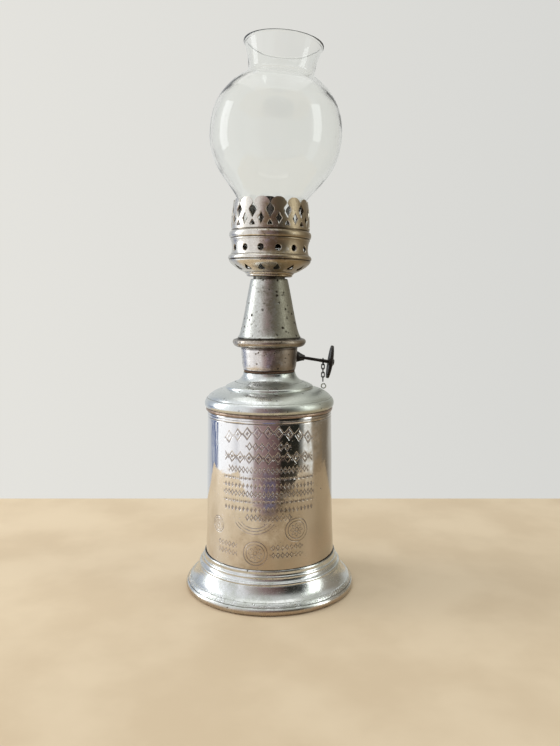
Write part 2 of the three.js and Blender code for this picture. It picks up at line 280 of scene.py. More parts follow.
# ------------------------------------------------------------------ material tools
class Nodes:
    """Small helper that makes and links shader nodes."""

    def __init__(self, name):
        self.mat = bpy.data.materials.new(name)
        self.mat.use_nodes = True
        self.nt = self.mat.node_tree
        self.nt.nodes.clear()
        self.out = self.nt.nodes.new("ShaderNodeOutputMaterial")
        self.bsdf = self.nt.nodes.new("ShaderNodeBsdfPrincipled")
        self.nt.links.new(self.bsdf.outputs[0], self.out.inputs[0])
        tc = self.nt.nodes.new("ShaderNodeTexCoord")
        s = self.nt.nodes.new("ShaderNodeVectorMath")
        s.operation = "SCALE"
        s.inputs["Scale"].default_value = 1000.0
        self.nt.links.new(tc.outputs["Object"], s.inputs[0])
        self.pos = s.outputs[0]  # millimetres
        xyz = self.nt.nodes.new("ShaderNodeSeparateXYZ")
        self.nt.links.new(self.pos, xyz.inputs[0])
        self.x, self.y, self.z = xyz.outputs
        self._round = None

    def put(self, socket, value):
        if hasattr(value, "is_output") or isinstance(value, bpy.types.NodeSocket):
            self.nt.links.new(value, socket)
        else:
            socket.default_value = value

    def math(self, op, a, b=0.0, c=0.0, clamp=False):
        n = self.nt.nodes.new("ShaderNodeMath")
        n.operation, n.use_clamp = op, clamp
        for i, v in enumerate((a, b, c)):
            self.put(n.inputs[i], v)
        return n.outputs[0]

    def ramp(self, v, lo, hi, out0=0.0, out1=1.0, smooth=True):
        n = self.nt.nodes.new("ShaderNodeMapRange")
        n.interpolation_type = "SMOOTHSTEP" if smooth else "LINEAR"
        n.clamp = True
        for i, val in enumerate((v, lo, hi, out0, out1)):
            self.put(n.inputs[i], val)
        return n.outputs[0]

    def mix(self, f, a, b, blend="MIX"):
        n = self.nt.nodes.new("ShaderNodeMix")
        n.data_type, n.blend_type = "RGBA", blend
        self.put(n.inputs["Factor"], f)
        for key, v in (("A", a), ("B", b)):
            sock = [s for s in n.inputs if s.name == key and s.type == "RGBA"][0]
            if isinstance(v, tuple):
                v = (*v, 1.0) if len(v) == 3 else v
            self.put(sock, v)
        return [s for s in n.outputs if s.type == "RGBA"][0]

    def noise(self, scale, detail=3.0, rough=0.55, vector=None, offset=(0, 0, 0), dist=0.0):
        v = vector if vector is not None else self.pos
        if offset != (0, 0, 0):
            v = self.vec("ADD", v, offset)
        n = self.nt.nodes.new("ShaderNodeTexNoise")
        self.put(n.inputs["Vector"], v)
        n.inputs["Scale"].default_value = scale
        n.inputs["Detail"].default_value = detail
        n.inputs["Roughness"].default_value = rough
        n.inputs["Distortion"].default_value = dist
        return n.outputs[0]

    def voronoi(self, scale, vector=None, feature="F1", random=1.0, out=0):
        n = self.nt.nodes.new("ShaderNodeTexVoronoi")
        n.feature = feature
        self.put(n.inputs["Vector"], vector if vector is not None else self.pos)
        n.inputs["Scale"].default_value = scale
        n.inputs["Randomness"].default_value = random
        return n.outputs[out]

    def vec(self, op, a, b=(0, 0, 0)):
        n = self.nt.nodes.new("ShaderNodeVectorMath")
        n.operation = op
        self.put(n.inputs[0], a)
        self.put(n.inputs[1], b)
        return n.outputs[0]

    def combine(self, x, y, z):
        n = self.nt.nodes.new("ShaderNodeCombineXYZ")
        for i, v in enumerate((x, y, z)):
            self.put(n.inputs[i], v)
        return n.outputs[0]

    def angle(self):
        """Azimuth about Z in radians, 0 at the front (-Y), positive towards +X."""
        return self.math("ARCTAN2", self.x, self.math("MULTIPLY", self.y, -1.0))

    def radius(self):
        if self._round is None:
            self._round = self.math("SQRT", self.math("ADD", self.math("MULTIPLY", self.x, self.x), self.math("MULTIPLY", self.y, self.y)))
        return self._round

    def pointy(self):
        return self.nt.nodes.new("ShaderNodeNewGeometry").outputs["Pointiness"]

    def bump(self, height, strength, distance, normal=None):
        n = self.nt.nodes.new("ShaderNodeBump")
        n.inputs["Strength"].default_value = strength
        n.inputs["Distance"].default_value = distance * U
        self.put(n.inputs["Height"], height)
        if normal is not None:
            self.nt.links.new(normal, n.inputs["Normal"])
        return n.outputs[0]

    def set(self, **kw):
        for k, v in kw.items():
            s = self.bsdf.inputs[k.replace("_", " ")]
            if isinstance(v, tuple) and len(v) == 3 and s.type == "RGBA":
                v = (*v, 1.0)
            self.put(s, v)
        return self.mat


def plated(name, clean, tarnish, grime_and_shade, rough=0.22, rough_up=0.25, patch=0.055, patch_cut=(0.42, 0.62), pit_scale=0.42, pit=0.075,
           spin=0.25, wave=0.05, wave_size=0.12, scratch=0.25, seed=0.0, wear=None, mottling=0.22, sparse_cut=(0.48, 0.64), grooves=(), tilt=0.0, right_side_shade=0.0, low=None, inside=None, build=None):
    """Old plated metal: clean plate, tarnish patches, pits and specks, turning lines, scratches and slightly wavy
    sheet; recesses darkened partly as painted shade, optional painted shade on the right side and optional painted
    table reflection low down.
    """
    n = Nodes(name)
    off = (seed * 13.1, seed * 7.7, seed * 3.3)
    big = n.noise(patch, 5.0, 0.6, offset=off)
    mid = n.noise(patch * 5.5, 5.0, 0.62, offset=off)
    both = n.math("ADD", n.math("MULTIPLY", big, 0.65), n.math("MULTIPLY", mid, 0.35))
    if right_side_shade:  # painted shade: the right side (+X) is pushed towards the tarnish colour
        both = n.math("ADD", both, n.math("MULTIPLY", n.x, right_side_shade))
    if low:  # painted reflection of the table: pushed towards the tarnish colour below low[0] mm
        both = n.math("ADD", both, n.math("MULTIPLY", n.math("SUBTRACT", low[0], n.z), low[1]))
    tarnish_and_painted_light = n.ramp(both, patch_cut[0], patch_cut[1])
    colour = n.mix(tarnish_and_painted_light, clean, tarnish)
    # fine mottling in the plate
    mottle = n.ramp(n.noise(1.6, 6.0, 0.7, offset=off), 0.35, 0.7)
    colour = n.mix(n.math("MULTIPLY", mottle, mottling), colour, grime_and_shade)
    # pits and specks, more of them where it is dirty
    cells = n.voronoi(pit_scale, n.vec("ADD", n.pos, n.combine(n.math("MULTIPLY", mid, 2.0), 0.0, seed)))
    sparse = n.ramp(n.noise(0.16, 3.0, 0.6, offset=(off[0] + 4, 2, 9)), sparse_cut[0], sparse_cut[1])
    specks = n.math("MULTIPLY", n.ramp(cells, pit * 1.0, pit * 2.2, 1.0, 0.0), sparse)
    fine_cells = n.voronoi(pit_scale * 4.2, offset_vec(n, seed))
    fine = n.math("MULTIPLY", n.ramp(fine_cells, 0.08, 0.2, 1.0, 0.0), n.ramp(mid, 0.5, 0.66))
    spots = n.math("MAXIMUM", specks, n.math("MULTIPLY", fine, 0.7))
    colour = n.mix(spots, colour, tuple(c * 0.30 for c in grime_and_shade))
    # recesses are darkened towards the grime colour, partly brown grime and partly painted shade; rubbed edges are
    # bright
    point = n.pointy()
    recess = n.ramp(point, 0.47, 0.40)
    colour = n.mix(n.math("MULTIPLY", recess, 0.75), colour, grime_and_shade)
    edge = n.ramp(point, 0.54, 0.62)
    # brown-black dirt packed in the turned grooves, uneven round the piece
    if grooves:
        height = n.math("ADD", n.z, n.math("MULTIPLY", n.x, math.tan(math.radians(tilt)))) if tilt else n.z
        height = n.math("ADD", height, n.math("MULTIPLY", n.math("SUBTRACT", mid, 0.5), 0.5))
        dirt = None
        for where, half in grooves:
            g = n.ramp(n.math("ABSOLUTE", n.math("SUBTRACT", height, where)), half * 0.5, half * 1.5, 1.0, 0.0)
            dirt = g if dirt is None else n.math("MAXIMUM", dirt, g)
        dirt = n.math("MULTIPLY", dirt, n.ramp(big, 0.30, 0.58, 0.55, 1.0))
        colour = n.mix(n.math("MULTIPLY", dirt, 0.85), colour, tuple(c * 0.32 for c in grime_and_shade))
    if wear is not None:
        worn = n.math("MULTIPLY", edge, n.ramp(n.noise(0.35, 4.0, 0.6, offset=(3, 5, 7)), 0.35, 0.6))
        colour = n.mix(worn, colour, wear)
    # turning lines run round, scratches run at random
    lines = n.noise(1.0, 4.0, 0.7, vector=n.combine(0.0, seed, n.math("MULTIPLY", n.z, 3.2)))
    arc = n.math("MULTIPLY", n.angle(), 28.0)
    scr_a = n.noise(1.0, 3.0, 0.6, vector=n.combine(n.math("MULTIPLY", arc, 0.25), n.math("MULTIPLY", n.z, 5.0), seed))
    scr_b = n.noise(1.0, 3.0, 0.6, vector=n.combine(n.math("MULTIPLY", arc, 5.0), n.math("MULTIPLY", n.z, 0.22), seed + 3))
    scratches = n.math("ADD", n.ramp(scr_a, 0.66, 0.74), n.ramp(scr_b, 0.67, 0.75))
    rough_field = n.math("ADD", n.math("MULTIPLY", tarnish_and_painted_light, rough_up), n.math("MULTIPLY", mottle, 0.45 * mottling))
    rough_field = n.math("ADD", rough_field, n.math("MULTIPLY", scratches, 0.08))
    rough_field = n.math("ADD", rough_field, n.math("MULTIPLY", spots, 0.35))
    rough_field = n.math("ADD", rough_field, rough, clamp=True)
    b = n.bump(n.noise(wave_size, 3.0, 0.5, offset=off), 1.0, wave)
    b = n.bump(lines, spin, 0.02, b)
    b = n.bump(n.math("MULTIPLY", scratches, -1.0), scratch, 0.02, b)
    b = n.bump(n.math("MULTIPLY", spots, -1.0), 0.7, 0.10, b)
    if inside is not None:  # faces that look towards the axis are sooty
        tc = n.nt.nodes.new("ShaderNodeTexCoord")
        out = n.nt.nodes.new("ShaderNodeSeparateXYZ")
        n.nt.links.new(tc.outputs["Normal"], out.inputs[0])
        facing = n.math("ADD", n.math("MULTIPLY", out.outputs[0], n.x), n.math("MULTIPLY", out.outputs[1], n.y))
        soot = n.ramp(facing, -1.0, -6.0)
        colour = n.mix(n.math("MULTIPLY", soot, 0.92), colour, inside)
        rough_field = n.math("ADD", rough_field, n.math("MULTIPLY", soot, 0.3), clamp=True)
    if build:
        colour, rough_field, b = build(n, colour, rough_field, b)
    return n.set(Base_Color=colour, Metallic=1.0, Roughness=rough_field, Normal=b)


def offset_vec(n, seed):
    return n.vec("ADD", n.pos, (seed * 2.3, seed, 5.0))


# ------------------------------------------------------------------ materials
def engraving(n, colour, rough, b):
    """Generic stamped ornament on the front of the wall: arcs of lozenges, bead rows, plain rosettes and curved
    strokes.
    """
    a = n.angle()
    s = n.math("MULTIPLY", a, 27.6)  # arc length from the front, mm
    z = n.z

    def near(value, centre, half, soft=0.12):
        return n.ramp(n.math("ABSOLUTE", n.math("SUBTRACT", value, centre)), half, half + soft, 1.0, 0.0)

    def inside(limit):
        return n.ramp(n.math("ABSOLUTE", s), limit, limit + 0.3, 1.0, 0.0)

    def cell(value, pitch, shift=0.0):
        """Distance from the middle of a repeat, -pitch/2 to pitch/2."""
        f = n.math("FRACT", n.math("ADD", n.math("DIVIDE", value, pitch), 0.5 + shift))
        return n.math("MULTIPLY", n.math("SUBTRACT", f, 0.5), pitch)

    def lozenges(z0, pitch, half_w, half_h, wire=None, shift=0.0, bend=0.0):
        u = n.math("ABSOLUTE", cell(s, pitch, shift))
        zz = n.math("SUBTRACT", z, z0)
        if bend:
            zz = n.math("ADD", zz, n.math("MULTIPLY", n.math("MULTIPLY", s, s), bend))
        d = n.math("ADD", n.math("DIVIDE", u, half_w), n.math("DIVIDE", n.math("ABSOLUTE", zz), half_h))
        if wire is None:
            return n.ramp(d, 0.8, 1.15, 1.0, 0.0)
        return n.ramp(n.math("ABSOLUTE", n.math("SUBTRACT", d, 1.0)), wire, wire + 0.14, 1.0, 0.0)

    def dots(z0, pitch, r, shift=0.0, bend=0.0):
        u = cell(s, pitch, shift)
        zz = n.math("SUBTRACT", z, z0)
        if bend:
            zz = n.math("ADD", zz, n.math("MULTIPLY", n.math("MULTIPLY", s, s), bend))
        d = n.math("SQRT", n.math("ADD", n.math("MULTIPLY", u, u), n.math("MULTIPLY", zz, zz)))
        return n.ramp(d, r * 0.7, r * 1.3, 1.0, 0.0)

    def ring_at(s0, z0, r, w=0.13):
        ds, dz = n.math("SUBTRACT", s, s0), n.math("SUBTRACT", z, z0)
        d = n.math("SQRT", n.math("ADD", n.math("MULTIPLY", ds, ds), n.math("MULTIPLY", dz, dz)))
        return n.ramp(n.math("ABSOLUTE", n.math("SUBTRACT", d, r)), w, w + 0.12, 1.0, 0.0)

    def rosette(s0, z0, r, petals):
        ds, dz = n.math("SUBTRACT", s, s0), n.math("SUBTRACT", z, z0)
        d = n.math("SQRT", n.math("ADD", n.math("MULTIPLY", ds, ds), n.math("MULTIPLY", dz, dz)))
        t = n.math("ARCTAN2", dz, ds)
        edge = n.math("MULTIPLY", n.math("ADD", n.math("MULTIPLY", n.math("COSINE", n.math("MULTIPLY", t, float(petals))), 0.22), 0.78), r)
        return n.ramp(n.math("ABSOLUTE", n.math("SUBTRACT", d, edge)), 0.11, 0.24, 1.0, 0.0)

    marks = None

    def add(m, limit=None):
        nonlocal marks
        if limit is not None:
            m = n.math("MULTIPLY", m, inside(limit))
        marks = m if marks is None else n.math("MAXIMUM", marks, m)

    # tall arched band at the top: open lozenges with a dot in each
    add(lozenges(73.4, 4.4, 1.85, 2.35, wire=0.13, bend=0.0085), 20.0)
    add(lozenges(73.4, 4.4, 0.75, 0.95, bend=0.0085), 20.0)
    add(dots(73.4, 4.4, 0.42, shift=0.5, bend=0.0085), 20.0)
    # smaller rows below, each a different plain repeat
    add(lozenges(67.5, 2.6, 1.05, 1.5, wire=0.2), 9.3)
    add(dots(67.5, 2.6, 0.3, shift=0.5), 9.3)
    add(lozenges(62.7, 4.0, 1.7, 2.1, wire=0.14), 19.5)
    add(dots(62.7, 4.0, 0.62), 19.5)
    add(lozenges(62.7, 4.0, 0.42, 1.3, shift=0.5), 19.5)
    for i, z0 in enumerate((57.7, 54.1, 51.0, 47.7, 44.5, 41.3, 37.9)):
        limit = (17.5, 20.0, 20.5, 20.5, 20.5, 20.0, 9.6)[i]
        if i % 3 == 0:
            add(lozenges(z0, 1.75, 0.68, 1.2, wire=0.24), limit)
            add(dots(z0, 1.75, 0.24, shift=0.5), limit)
        elif i % 3 == 1:
            add(dots(z0, 1.9, 0.5), limit)
            add(lozenges(z0, 1.9, 0.2, 1.0, shift=0.5), limit)
        else:
            add(lozenges(z0, 1.75, 0.62, 1.15), limit)
    # plain rosettes in rings: one at the left, a larger one at the right, one low between them
    for s0, z0, r in ((-24.0, 32.6, 3.4), (11.8, 32.4, 4.9), (-5.4, 22.9, 5.0)):
        add(ring_at(s0, z0, r))
        add(ring_at(s0, z0, r * 0.76, 0.1))
        add(rosette(s0, z0, r * 0.55, 8))
        add(ring_at(s0, z0, r * 0.16, 0.14))
    # short rows of beads beside the lower rosette
    for z0 in (25.4, 22.2):
        for s0, half in ((-18.5, 5.0), (7.6, 7.0)):
            gate = n.ramp(n.math("ABSOLUTE", n.math("SUBTRACT", s, s0)), half, half + 0.2, 1.0, 0.0)
            add(n.math("MULTIPLY", lozenges(z0, 1.9, 0.72, 1.05, wire=0.22), gate))
    # three curved strokes between the rosettes
    for k, r in enumerate((7.6, 8.8, 10.0)):
        arc = ring_at(-6.0, 41.0, r, 0.09)
        gate = n.math("MULTIPLY", n.ramp(z, 36.0, 35.4, 0.0, 1.0), n.ramp(n.math("ABSOLUTE", n.math("SUBTRACT", s, -6.0)), 8.0, 8.6, 1.0, 0.0))
        add(n.math("MULTIPLY", arc, gate))
    # worn unevenly, so that parts of the stamping have almost gone
    worn = n.ramp(n.noise(0.17, 3.0, 0.6, offset=(1, 2, 3)), 0.36, 0.56, 0.35, 1.0)
    ragged = n.ramp(n.noise(2.4, 2.0, 0.6, offset=(8, 1, 2)), 0.30, 0.44, 0.55, 1.0)
    marks = n.math("MULTIPLY", n.math("MULTIPLY", marks, worn), ragged)
    colour = n.mix(n.math("MULTIPLY", marks, 0.68), colour, (0.14, 0.11, 0.10))
    rough = n.math("ADD", rough, n.math("MULTIPLY", marks, 0.22), clamp=True)
    # painted reflection of the table: warm patches low on the wall
    low = n.math("MULTIPLY", n.ramp(z, 44.0, 18.0), n.ramp(n.noise(0.075, 4.0, 0.6, offset=(5, 9, 1)), 0.38, 0.6))
    colour = n.mix(n.math("MULTIPLY", low, 0.30), colour, (0.56, 0.44, 0.34))
    rough = n.math("ADD", rough, n.math("MULTIPLY", low, 0.04), clamp=True)
    b = n.bump(n.math("MULTIPLY", marks, -1.0), 0.85, 0.10, b)
    return colour, rough, b


def stippled(n, colour, rough, b):
    """Milled band above the foot's lip and brown rubbed metal on the lip."""
    a = n.math("MULTIPLY", n.angle(), 36.0)
    band = n.math("MULTIPLY", n.ramp(n.z, 3.35, 3.6), n.ramp(n.z, 4.9, 4.65))
    cells = n.voronoi(1.35, n.combine(a, n.math("MULTIPLY", n.z, 1.0), 0.0), random=0.75)
    dimple = n.math("MULTIPLY", n.ramp(cells, 0.1, 0.45, 1.0, 0.0), band)
    b = n.bump(n.math("MULTIPLY", dimple, -1.0), 0.9, 0.14, b)
    colour = n.mix(n.math("MULTIPLY", dimple, 0.5), colour, (0.20, 0.20, 0.16))
    lip = n.ramp(n.z, 2.9, 1.7)
    patchy = n.ramp(n.noise(0.10, 4.0, 0.6, offset=(2, 8, 4)), 0.30, 0.62, 0.55, 1.0)
    colour = n.mix(n.math("MULTIPLY", lip, patchy), colour, (0.47, 0.38, 0.30))
    return colour, rough, b


# low on nickel_polished paints a reflection of the table on the lower wall
# right_side_shade on these materials paints shade on their right side
NICKEL = plated("nickel_polished", (0.80, 0.79, 0.78), (0.47, 0.42, 0.355), (0.30, 0.25, 0.20), rough=0.045, rough_up=0.07, patch=0.05,
                patch_cut=(0.42, 0.68), pit_scale=0.30, pit=0.05, spin=0.03, wave=0.13, wave_size=0.085, scratch=0.10, seed=1.0, mottling=0.10,
                grooves=((76.65, 0.16), (77.82, 0.12), (78.8, 0.18)), right_side_shade=0.011, low=(54.0, 0.0050), build=engraving)
FOOT = plated("nickel_dull_foot", (0.71, 0.725, 0.72), (0.53, 0.55, 0.51), (0.26, 0.24, 0.17), rough=0.16, rough_up=0.14, patch=0.07,
              pit_scale=0.36, pit=0.07, spin=0.12, wave=0.12, wave_size=0.12, seed=2.0, wear=(0.74, 0.70, 0.62), mottling=0.16, sparse_cut=(0.44, 0.6),
              grooves=((3.25, 0.12), (15.95, 0.10)), build=stippled)
SHOULDER = plated("nickel_dull_shoulder", (0.69, 0.715, 0.705), (0.53, 0.555, 0.50), (0.24, 0.24, 0.16), rough=0.19, rough_up=0.17, patch=0.085,
                  pit_scale=0.40, pit=0.08, spin=0.14, wave=0.09, wave_size=0.14, seed=3.0, wear=(0.80, 0.79, 0.76), mottling=0.16, sparse_cut=(0.44, 0.6),
                  grooves=((84.62, 0.07), (95.5, 0.12)), right_side_shade=0.014)
CONE = plated("nickel_cone", (0.62, 0.63, 0.59), (0.29, 0.28, 0.22), (0.19, 0.16, 0.11), rough=0.25, rough_up=0.20, patch=0.12,
              pit_scale=0.42, pit=0.15, spin=0.16, wave=0.10, wave_size=0.24, seed=4.0, wear=(0.72, 0.70, 0.66), mottling=0.46, sparse_cut=(0.40, 0.56),
              grooves=((110.7, 0.3), (136.6, 0.62)), right_side_shade=0.032)
COLLAR = plated("nickel_worn_collar", (0.74, 0.71, 0.68), (0.25, 0.205, 0.16), (0.15, 0.11, 0.08), rough=0.20, rough_up=0.16, patch=0.12,
                pit_scale=0.5, pit=0.12, spin=0.2, wave=0.06, wave_size=0.2, seed=5.0, wear=(0.66, 0.60, 0.54), sparse_cut=(0.42, 0.58), patch_cut=(0.40, 0.60),
                grooves=((96.7, 0.22), (106.1, 0.42)), right_side_shade=0.024)
FLANGE = plated("nickel_brown_flange", (0.50, 0.45, 0.39), (0.29, 0.245, 0.19), (0.12, 0.09, 0.06), rough=0.19, rough_up=0.18, patch=0.14,
                pit_scale=0.5, pit=0.12, spin=0.15, wave=0.08, wave_size=0.25, seed=12.0, wear=(0.62, 0.57, 0.50), mottling=0.3, sparse_cut=(0.42, 0.58), patch_cut=(0.36, 0.56),
                grooves=((106.8, 0.35), (110.2, 0.30)), right_side_shade=0.008)
GALLERY = plated("nickel_gallery", (0.71, 0.68, 0.62), (0.33, 0.265, 0.175), (0.23, 0.165, 0.09), rough=0.18, rough_up=0.17, patch=0.13,
                 pit_scale=0.6, pit=0.09, spin=0.12, wave=0.08, wave_size=0.25, seed=6.0, wear=(0.80, 0.78, 0.73), mottling=0.26, patch_cut=(0.40, 0.60),
                 grooves=((137.0, 0.2), (138.7, 0.12), (144.05, 0.24), (146.15, 0.14), (153.05, 0.18), (156.4, 0.22)), tilt=1.3, right_side_shade=0.018, inside=(0.10, 0.075, 0.042))
RIM = plated("nickel_bright_edge", (0.62, 0.58, 0.50), (0.46, 0.40, 0.31), (0.34, 0.27, 0.17), rough=0.24, rough_up=0.15, patch=0.2,
             pit_scale=0.8, pit=0.05, spin=0.05, wave=0.03, wave_size=0.4, seed=11.0, mottling=0.15)
BRASS = plated("brass_aged", (0.58, 0.45, 0.25), (0.42, 0.31, 0.17), (0.17, 0.12, 0.07), rough=0.30, rough_up=0.20, patch=0.09,
               pit_scale=0.4, pit=0.08, spin=0.2, wave=0.04, wave_size=0.15, seed=7.0)
COPPER = plated("copper_seam", (0.42, 0.32, 0.25), (0.30, 0.22, 0.17), (0.14, 0.10, 0.07), rough=0.34, rough_up=0.16, patch=0.16,
                pit_scale=0.7, pit=0.10, spin=0.1, wave=0.06, wave_size=0.4, seed=8.0)
DARK = plated("steel_blackened", (0.060, 0.056, 0.052), (0.030, 0.027, 0.024), (0.05, 0.035, 0.025), rough=0.34, rough_up=0.22, patch=0.2,
              pit_scale=0.8, pit=0.10, spin=0.2, wave=0.04, wave_size=0.4, seed=9.0, wear=(0.20, 0.185, 0.165))
SOOTY = plated("tube_sooty", (0.16, 0.14, 0.12), (0.05, 0.045, 0.04), (0.03, 0.026, 0.022), rough=0.45, rough_up=0.3, patch=0.14,
               pit_scale=0.8, pit=0.10, spin=0.2, wave=0.04, wave_size=0.4, seed=10.0, wear=(0.22, 0.20, 0.18))


def cloth_like(name, light, dark, weave=2.2, char=False, braid=False):
    n = Nodes(name)
    if braid:
        a = n.math("MULTIPLY", n.angle(), 2.9)
        u = n.math("SINE", n.math("MULTIPLY", n.math("ADD", a, n.z), weave * 3.0))
        v = n.math("SINE", n.math("MULTIPLY", n.math("SUBTRACT", a, n.z), weave * 3.0))
        fibre = n.math("MAXIMUM", u, v)
    else:
        fibre = n.math("ADD", n.noise(weave, 6.0, 0.75), n.math("MULTIPLY", n.noise(weave * 3.5, 4.0, 0.7, offset=(4, 4, 4)), 0.5))
    f = n.ramp(fibre, 0.0 if braid else 0.5, 1.0)
    colour = n.mix(f, dark, light)
    if char:
        burnt = n.ramp(n.math("ADD", n.z, n.math("MULTIPLY", n.noise(0.9, 3.0), 2.0)), 166.0, 170.6)
        colour = n.mix(burnt, colour, (0.012, 0.010, 0.009))
    return n.set(Base_Color=colour, Roughness=0.95, Specular_IOR_Level=0.1, Normal=n.bump(fibre, 0.8, 0.25))


WICK = cloth_like("wick_cotton", (0.70, 0.65, 0.55), (0.38, 0.33, 0.26), char=True, braid=True)
FELT = cloth_like("wadding_felt", (0.66, 0.60, 0.48), (0.40, 0.35, 0.26), weave=0.8)
PACK = cloth_like("packing_cotton", (0.62, 0.57, 0.47), (0.33, 0.28, 0.2), weave=3.0)
LEATHER = cloth_like("gasket_leather", (0.23, 0.15, 0.10), (0.10, 0.065, 0.045), weave=1.4)


def gauze():
    """Brass gauze: fine crossed wires, with painted shade in the gaps between them."""
    n = Nodes("gauze_brass")
    a = n.math("MULTIPLY", n.angle(), 7.4)
    u = n.math("ABSOLUTE", n.math("SINE", n.math("MULTIPLY", a, 5.0)))
    v = n.math("ABSOLUTE", n.math("SINE", n.math("MULTIPLY", n.z, 5.0)))
    wire = n.ramp(n.math("MAXIMUM", u, v), 0.75, 0.92)
    # the gaps get a near-black colour as painted shade
    colour = n.mix(wire, (0.05, 0.04, 0.03), (0.55, 0.43, 0.24))
    return n.set(Base_Color=colour, Metallic=1.0, Roughness=n.ramp(wire, 0.0, 1.0, 0.8, 0.35), Normal=n.bump(wire, 0.9, 0.15))


GAUZE = gauze()


def blown_glass():
    """Clear thin glass, slightly wavy, with a few seeds and dust towards its foot."""
    n = Nodes("glass_blown")
    wave = n.noise(0.045, 2.0, 0.45)
    fine = n.noise(0.35, 2.0, 0.5, offset=(3, 1, 6))
    b = n.bump(wave, 0.55, 0.55)
    b = n.bump(fine, 0.10, 0.05, b)
    seeds = n.ramp(n.voronoi(0.11), 0.012, 0.03, 1.0, 0.0)
    b = n.bump(seeds, 0.5, 0.2, b)
    dust = n.math("MULTIPLY", n.ramp(n.noise(0.5, 5.0, 0.7), 0.5, 0.8), n.ramp(n.z, 182.0, 166.0, 0.25, 1.0))
    rough = n.math("ADD", n.math("MULTIPLY", dust, 0.05), 0.004)
    colour = n.mix(dust, (0.975, 0.985, 0.975), (0.94, 0.95, 0.93))
    return n.set(Base_Color=colour, Roughness=rough, IOR=1.47, Transmission_Weight=1.0, Normal=b)


GLASS = blown_glass()


# ------------------------------------------------------------------ pieces
def place(obj, body, slot, *nodes):
    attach(obj, body)
    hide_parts(*nodes)
    return obj


def keep(node, material):
    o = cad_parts[node]
    o.data.materials.clear()
    o.data.materials.append(material)
    for p in o.data.polygons:
        p.material_index = 0


# Foot: worn rolled lip, milled band in a step, flared skirt, two beads and a short collar.
foot_outer = line(
    [(34.7, 0.0), (36.3, 0.0)],
    [(36.3, 0.0), (37.15, 0.45), (37.5, 1.5), (37.3, 2.5), (36.85, 3.1)],
    [(36.85, 3.1), (36.55, 3.3)],
    [(36.55, 3.3), (36.35, 3.65), (35.9, 4.25), (35.45, 4.7)],
    [(35.45, 4.7), (35.05, 4.75)],
    [(35.05, 4.75), (34.0, 5.7), (33.0, 7.0), (32.2, 8.5), (31.6, 10.0)],
    [(31.6, 10.0), (31.45, 10.25), (31.55, 10.75), (31.2, 11.35), (30.75, 11.4)],
    [(30.75, 11.4), (30.4, 11.8), (30.05, 12.5)],
    [(30.05, 12.5), (30.0, 12.75), (30.1, 13.2), (29.85, 13.75), (29.5, 13.85)],
    [(29.5, 13.85), (29.35, 14.4), (29.25, 15.5), (29.0, 15.95), (28.85, 16.0)],
    step=0.22,
)
foot_inner = line([(34.7, 0.0), (34.6, 0.9), (35.3, 2.4), (34.6, 3.7), (33.0, 5.3), (31.9, 7.0), (30.6, 9.8), (29.4, 11.6), (28.8, 12.6)], [(28.8, 12.6), (28.8, 16.0)], step=0.8)
foot = lathe("foot", shell(foot_outer, foot_inner), 256, 28, material=FOOT)
place(foot, "reservoir", "tarnished_nickel", "foot_skirt")

plate = lathe("foot_base_plate", line(
    [(0, 2.0), (8.0, 2.0)], [(8.0, 2.0), (8.6, 1.75), (9.2, 2.0)], [(9.2, 2.0), (21.5, 2.0)], [(21.5, 2.0), (22.0, 1.65), (22.5, 1.55), (23.0, 1.65), (23.5, 2.0)],
    [(23.5, 2.0), (32.2, 2.0)], [(32.2, 2.0), (33.0, 1.8), (33.8, 1.25), (34.3, 1.2)], [(34.3, 1.2), (34.3, 1.9)], [(34.3, 1.9), (32.9, 2.7)], [(32.9, 2.7), (0, 2.7)]), 160, 28, material=BRASS)
place(plate, "reservoir", "brass", "base_plate")

# Reservoir wall with its engraved ring near the top.
wall_outer = line(
    [(28.6, 12.9), (28.58, 15.0), (28.4, 20.0), (28.12, 26.0), (27.95, 34.0), (27.8, 42.0), (27.7, 50.0), (27.6, 58.0), (27.42, 66.0), (27.3, 76.3)],
    [(27.3, 76.3), (27.28, 76.4), (27.12, 76.55), (27.12, 76.75), (27.27, 76.9), (27.3, 77.0)],
    [(27.3, 77.0), (27.3, 77.7)],
    [(27.3, 77.7), (27.22, 77.82), (27.3, 77.95)],
    [(27.3, 77.95), (27.3, 78.6), (27.2, 78.9)],
    step=0.8,
)
wall_inner = line([(27.9, 12.9), (27.3, 30.0), (27.0, 52.0), (26.6, 73.0), (26.6, 78.9)], step=4.0)


def dents(r, z, a):
    """Sheet that is no longer quite round."""
    if r < 27.0:
        return 0.0
    return 0.05 * math.sin(3 * a + 0.6 + z * 0.02) + 0.03 * math.sin(7 * a + z * 0.11) + 0.02 * math.sin(11 * a - z * 0.17)


wall = lathe("reservoir_wall", shell(wall_outer, wall_inner), 256, 28, material=NICKEL, wobble=dents)
place(wall, "reservoir", "nickel", "reservoir_body")

# Solder-filled seam: an uneven copper-brown bead.
seam = lathe("seam_bead", shell(line([(26.5, 79.0), (27.45, 79.0), (27.75, 79.25), (27.9, 79.6), (27.78, 80.0), (27.5, 80.28), (26.5, 80.3)], step=0.15), [(26.5, 79.0), (26.5, 80.3)][1:]), 200, 40,
             material=COPPER, wobble=lambda r, z, a: (0.05 * math.sin(9 * a) + 0.04 * math.sin(23 * a + 1.0)) if r > 27 else 0.0)
place(seam, "reservoir", "copper", "seam_ring")

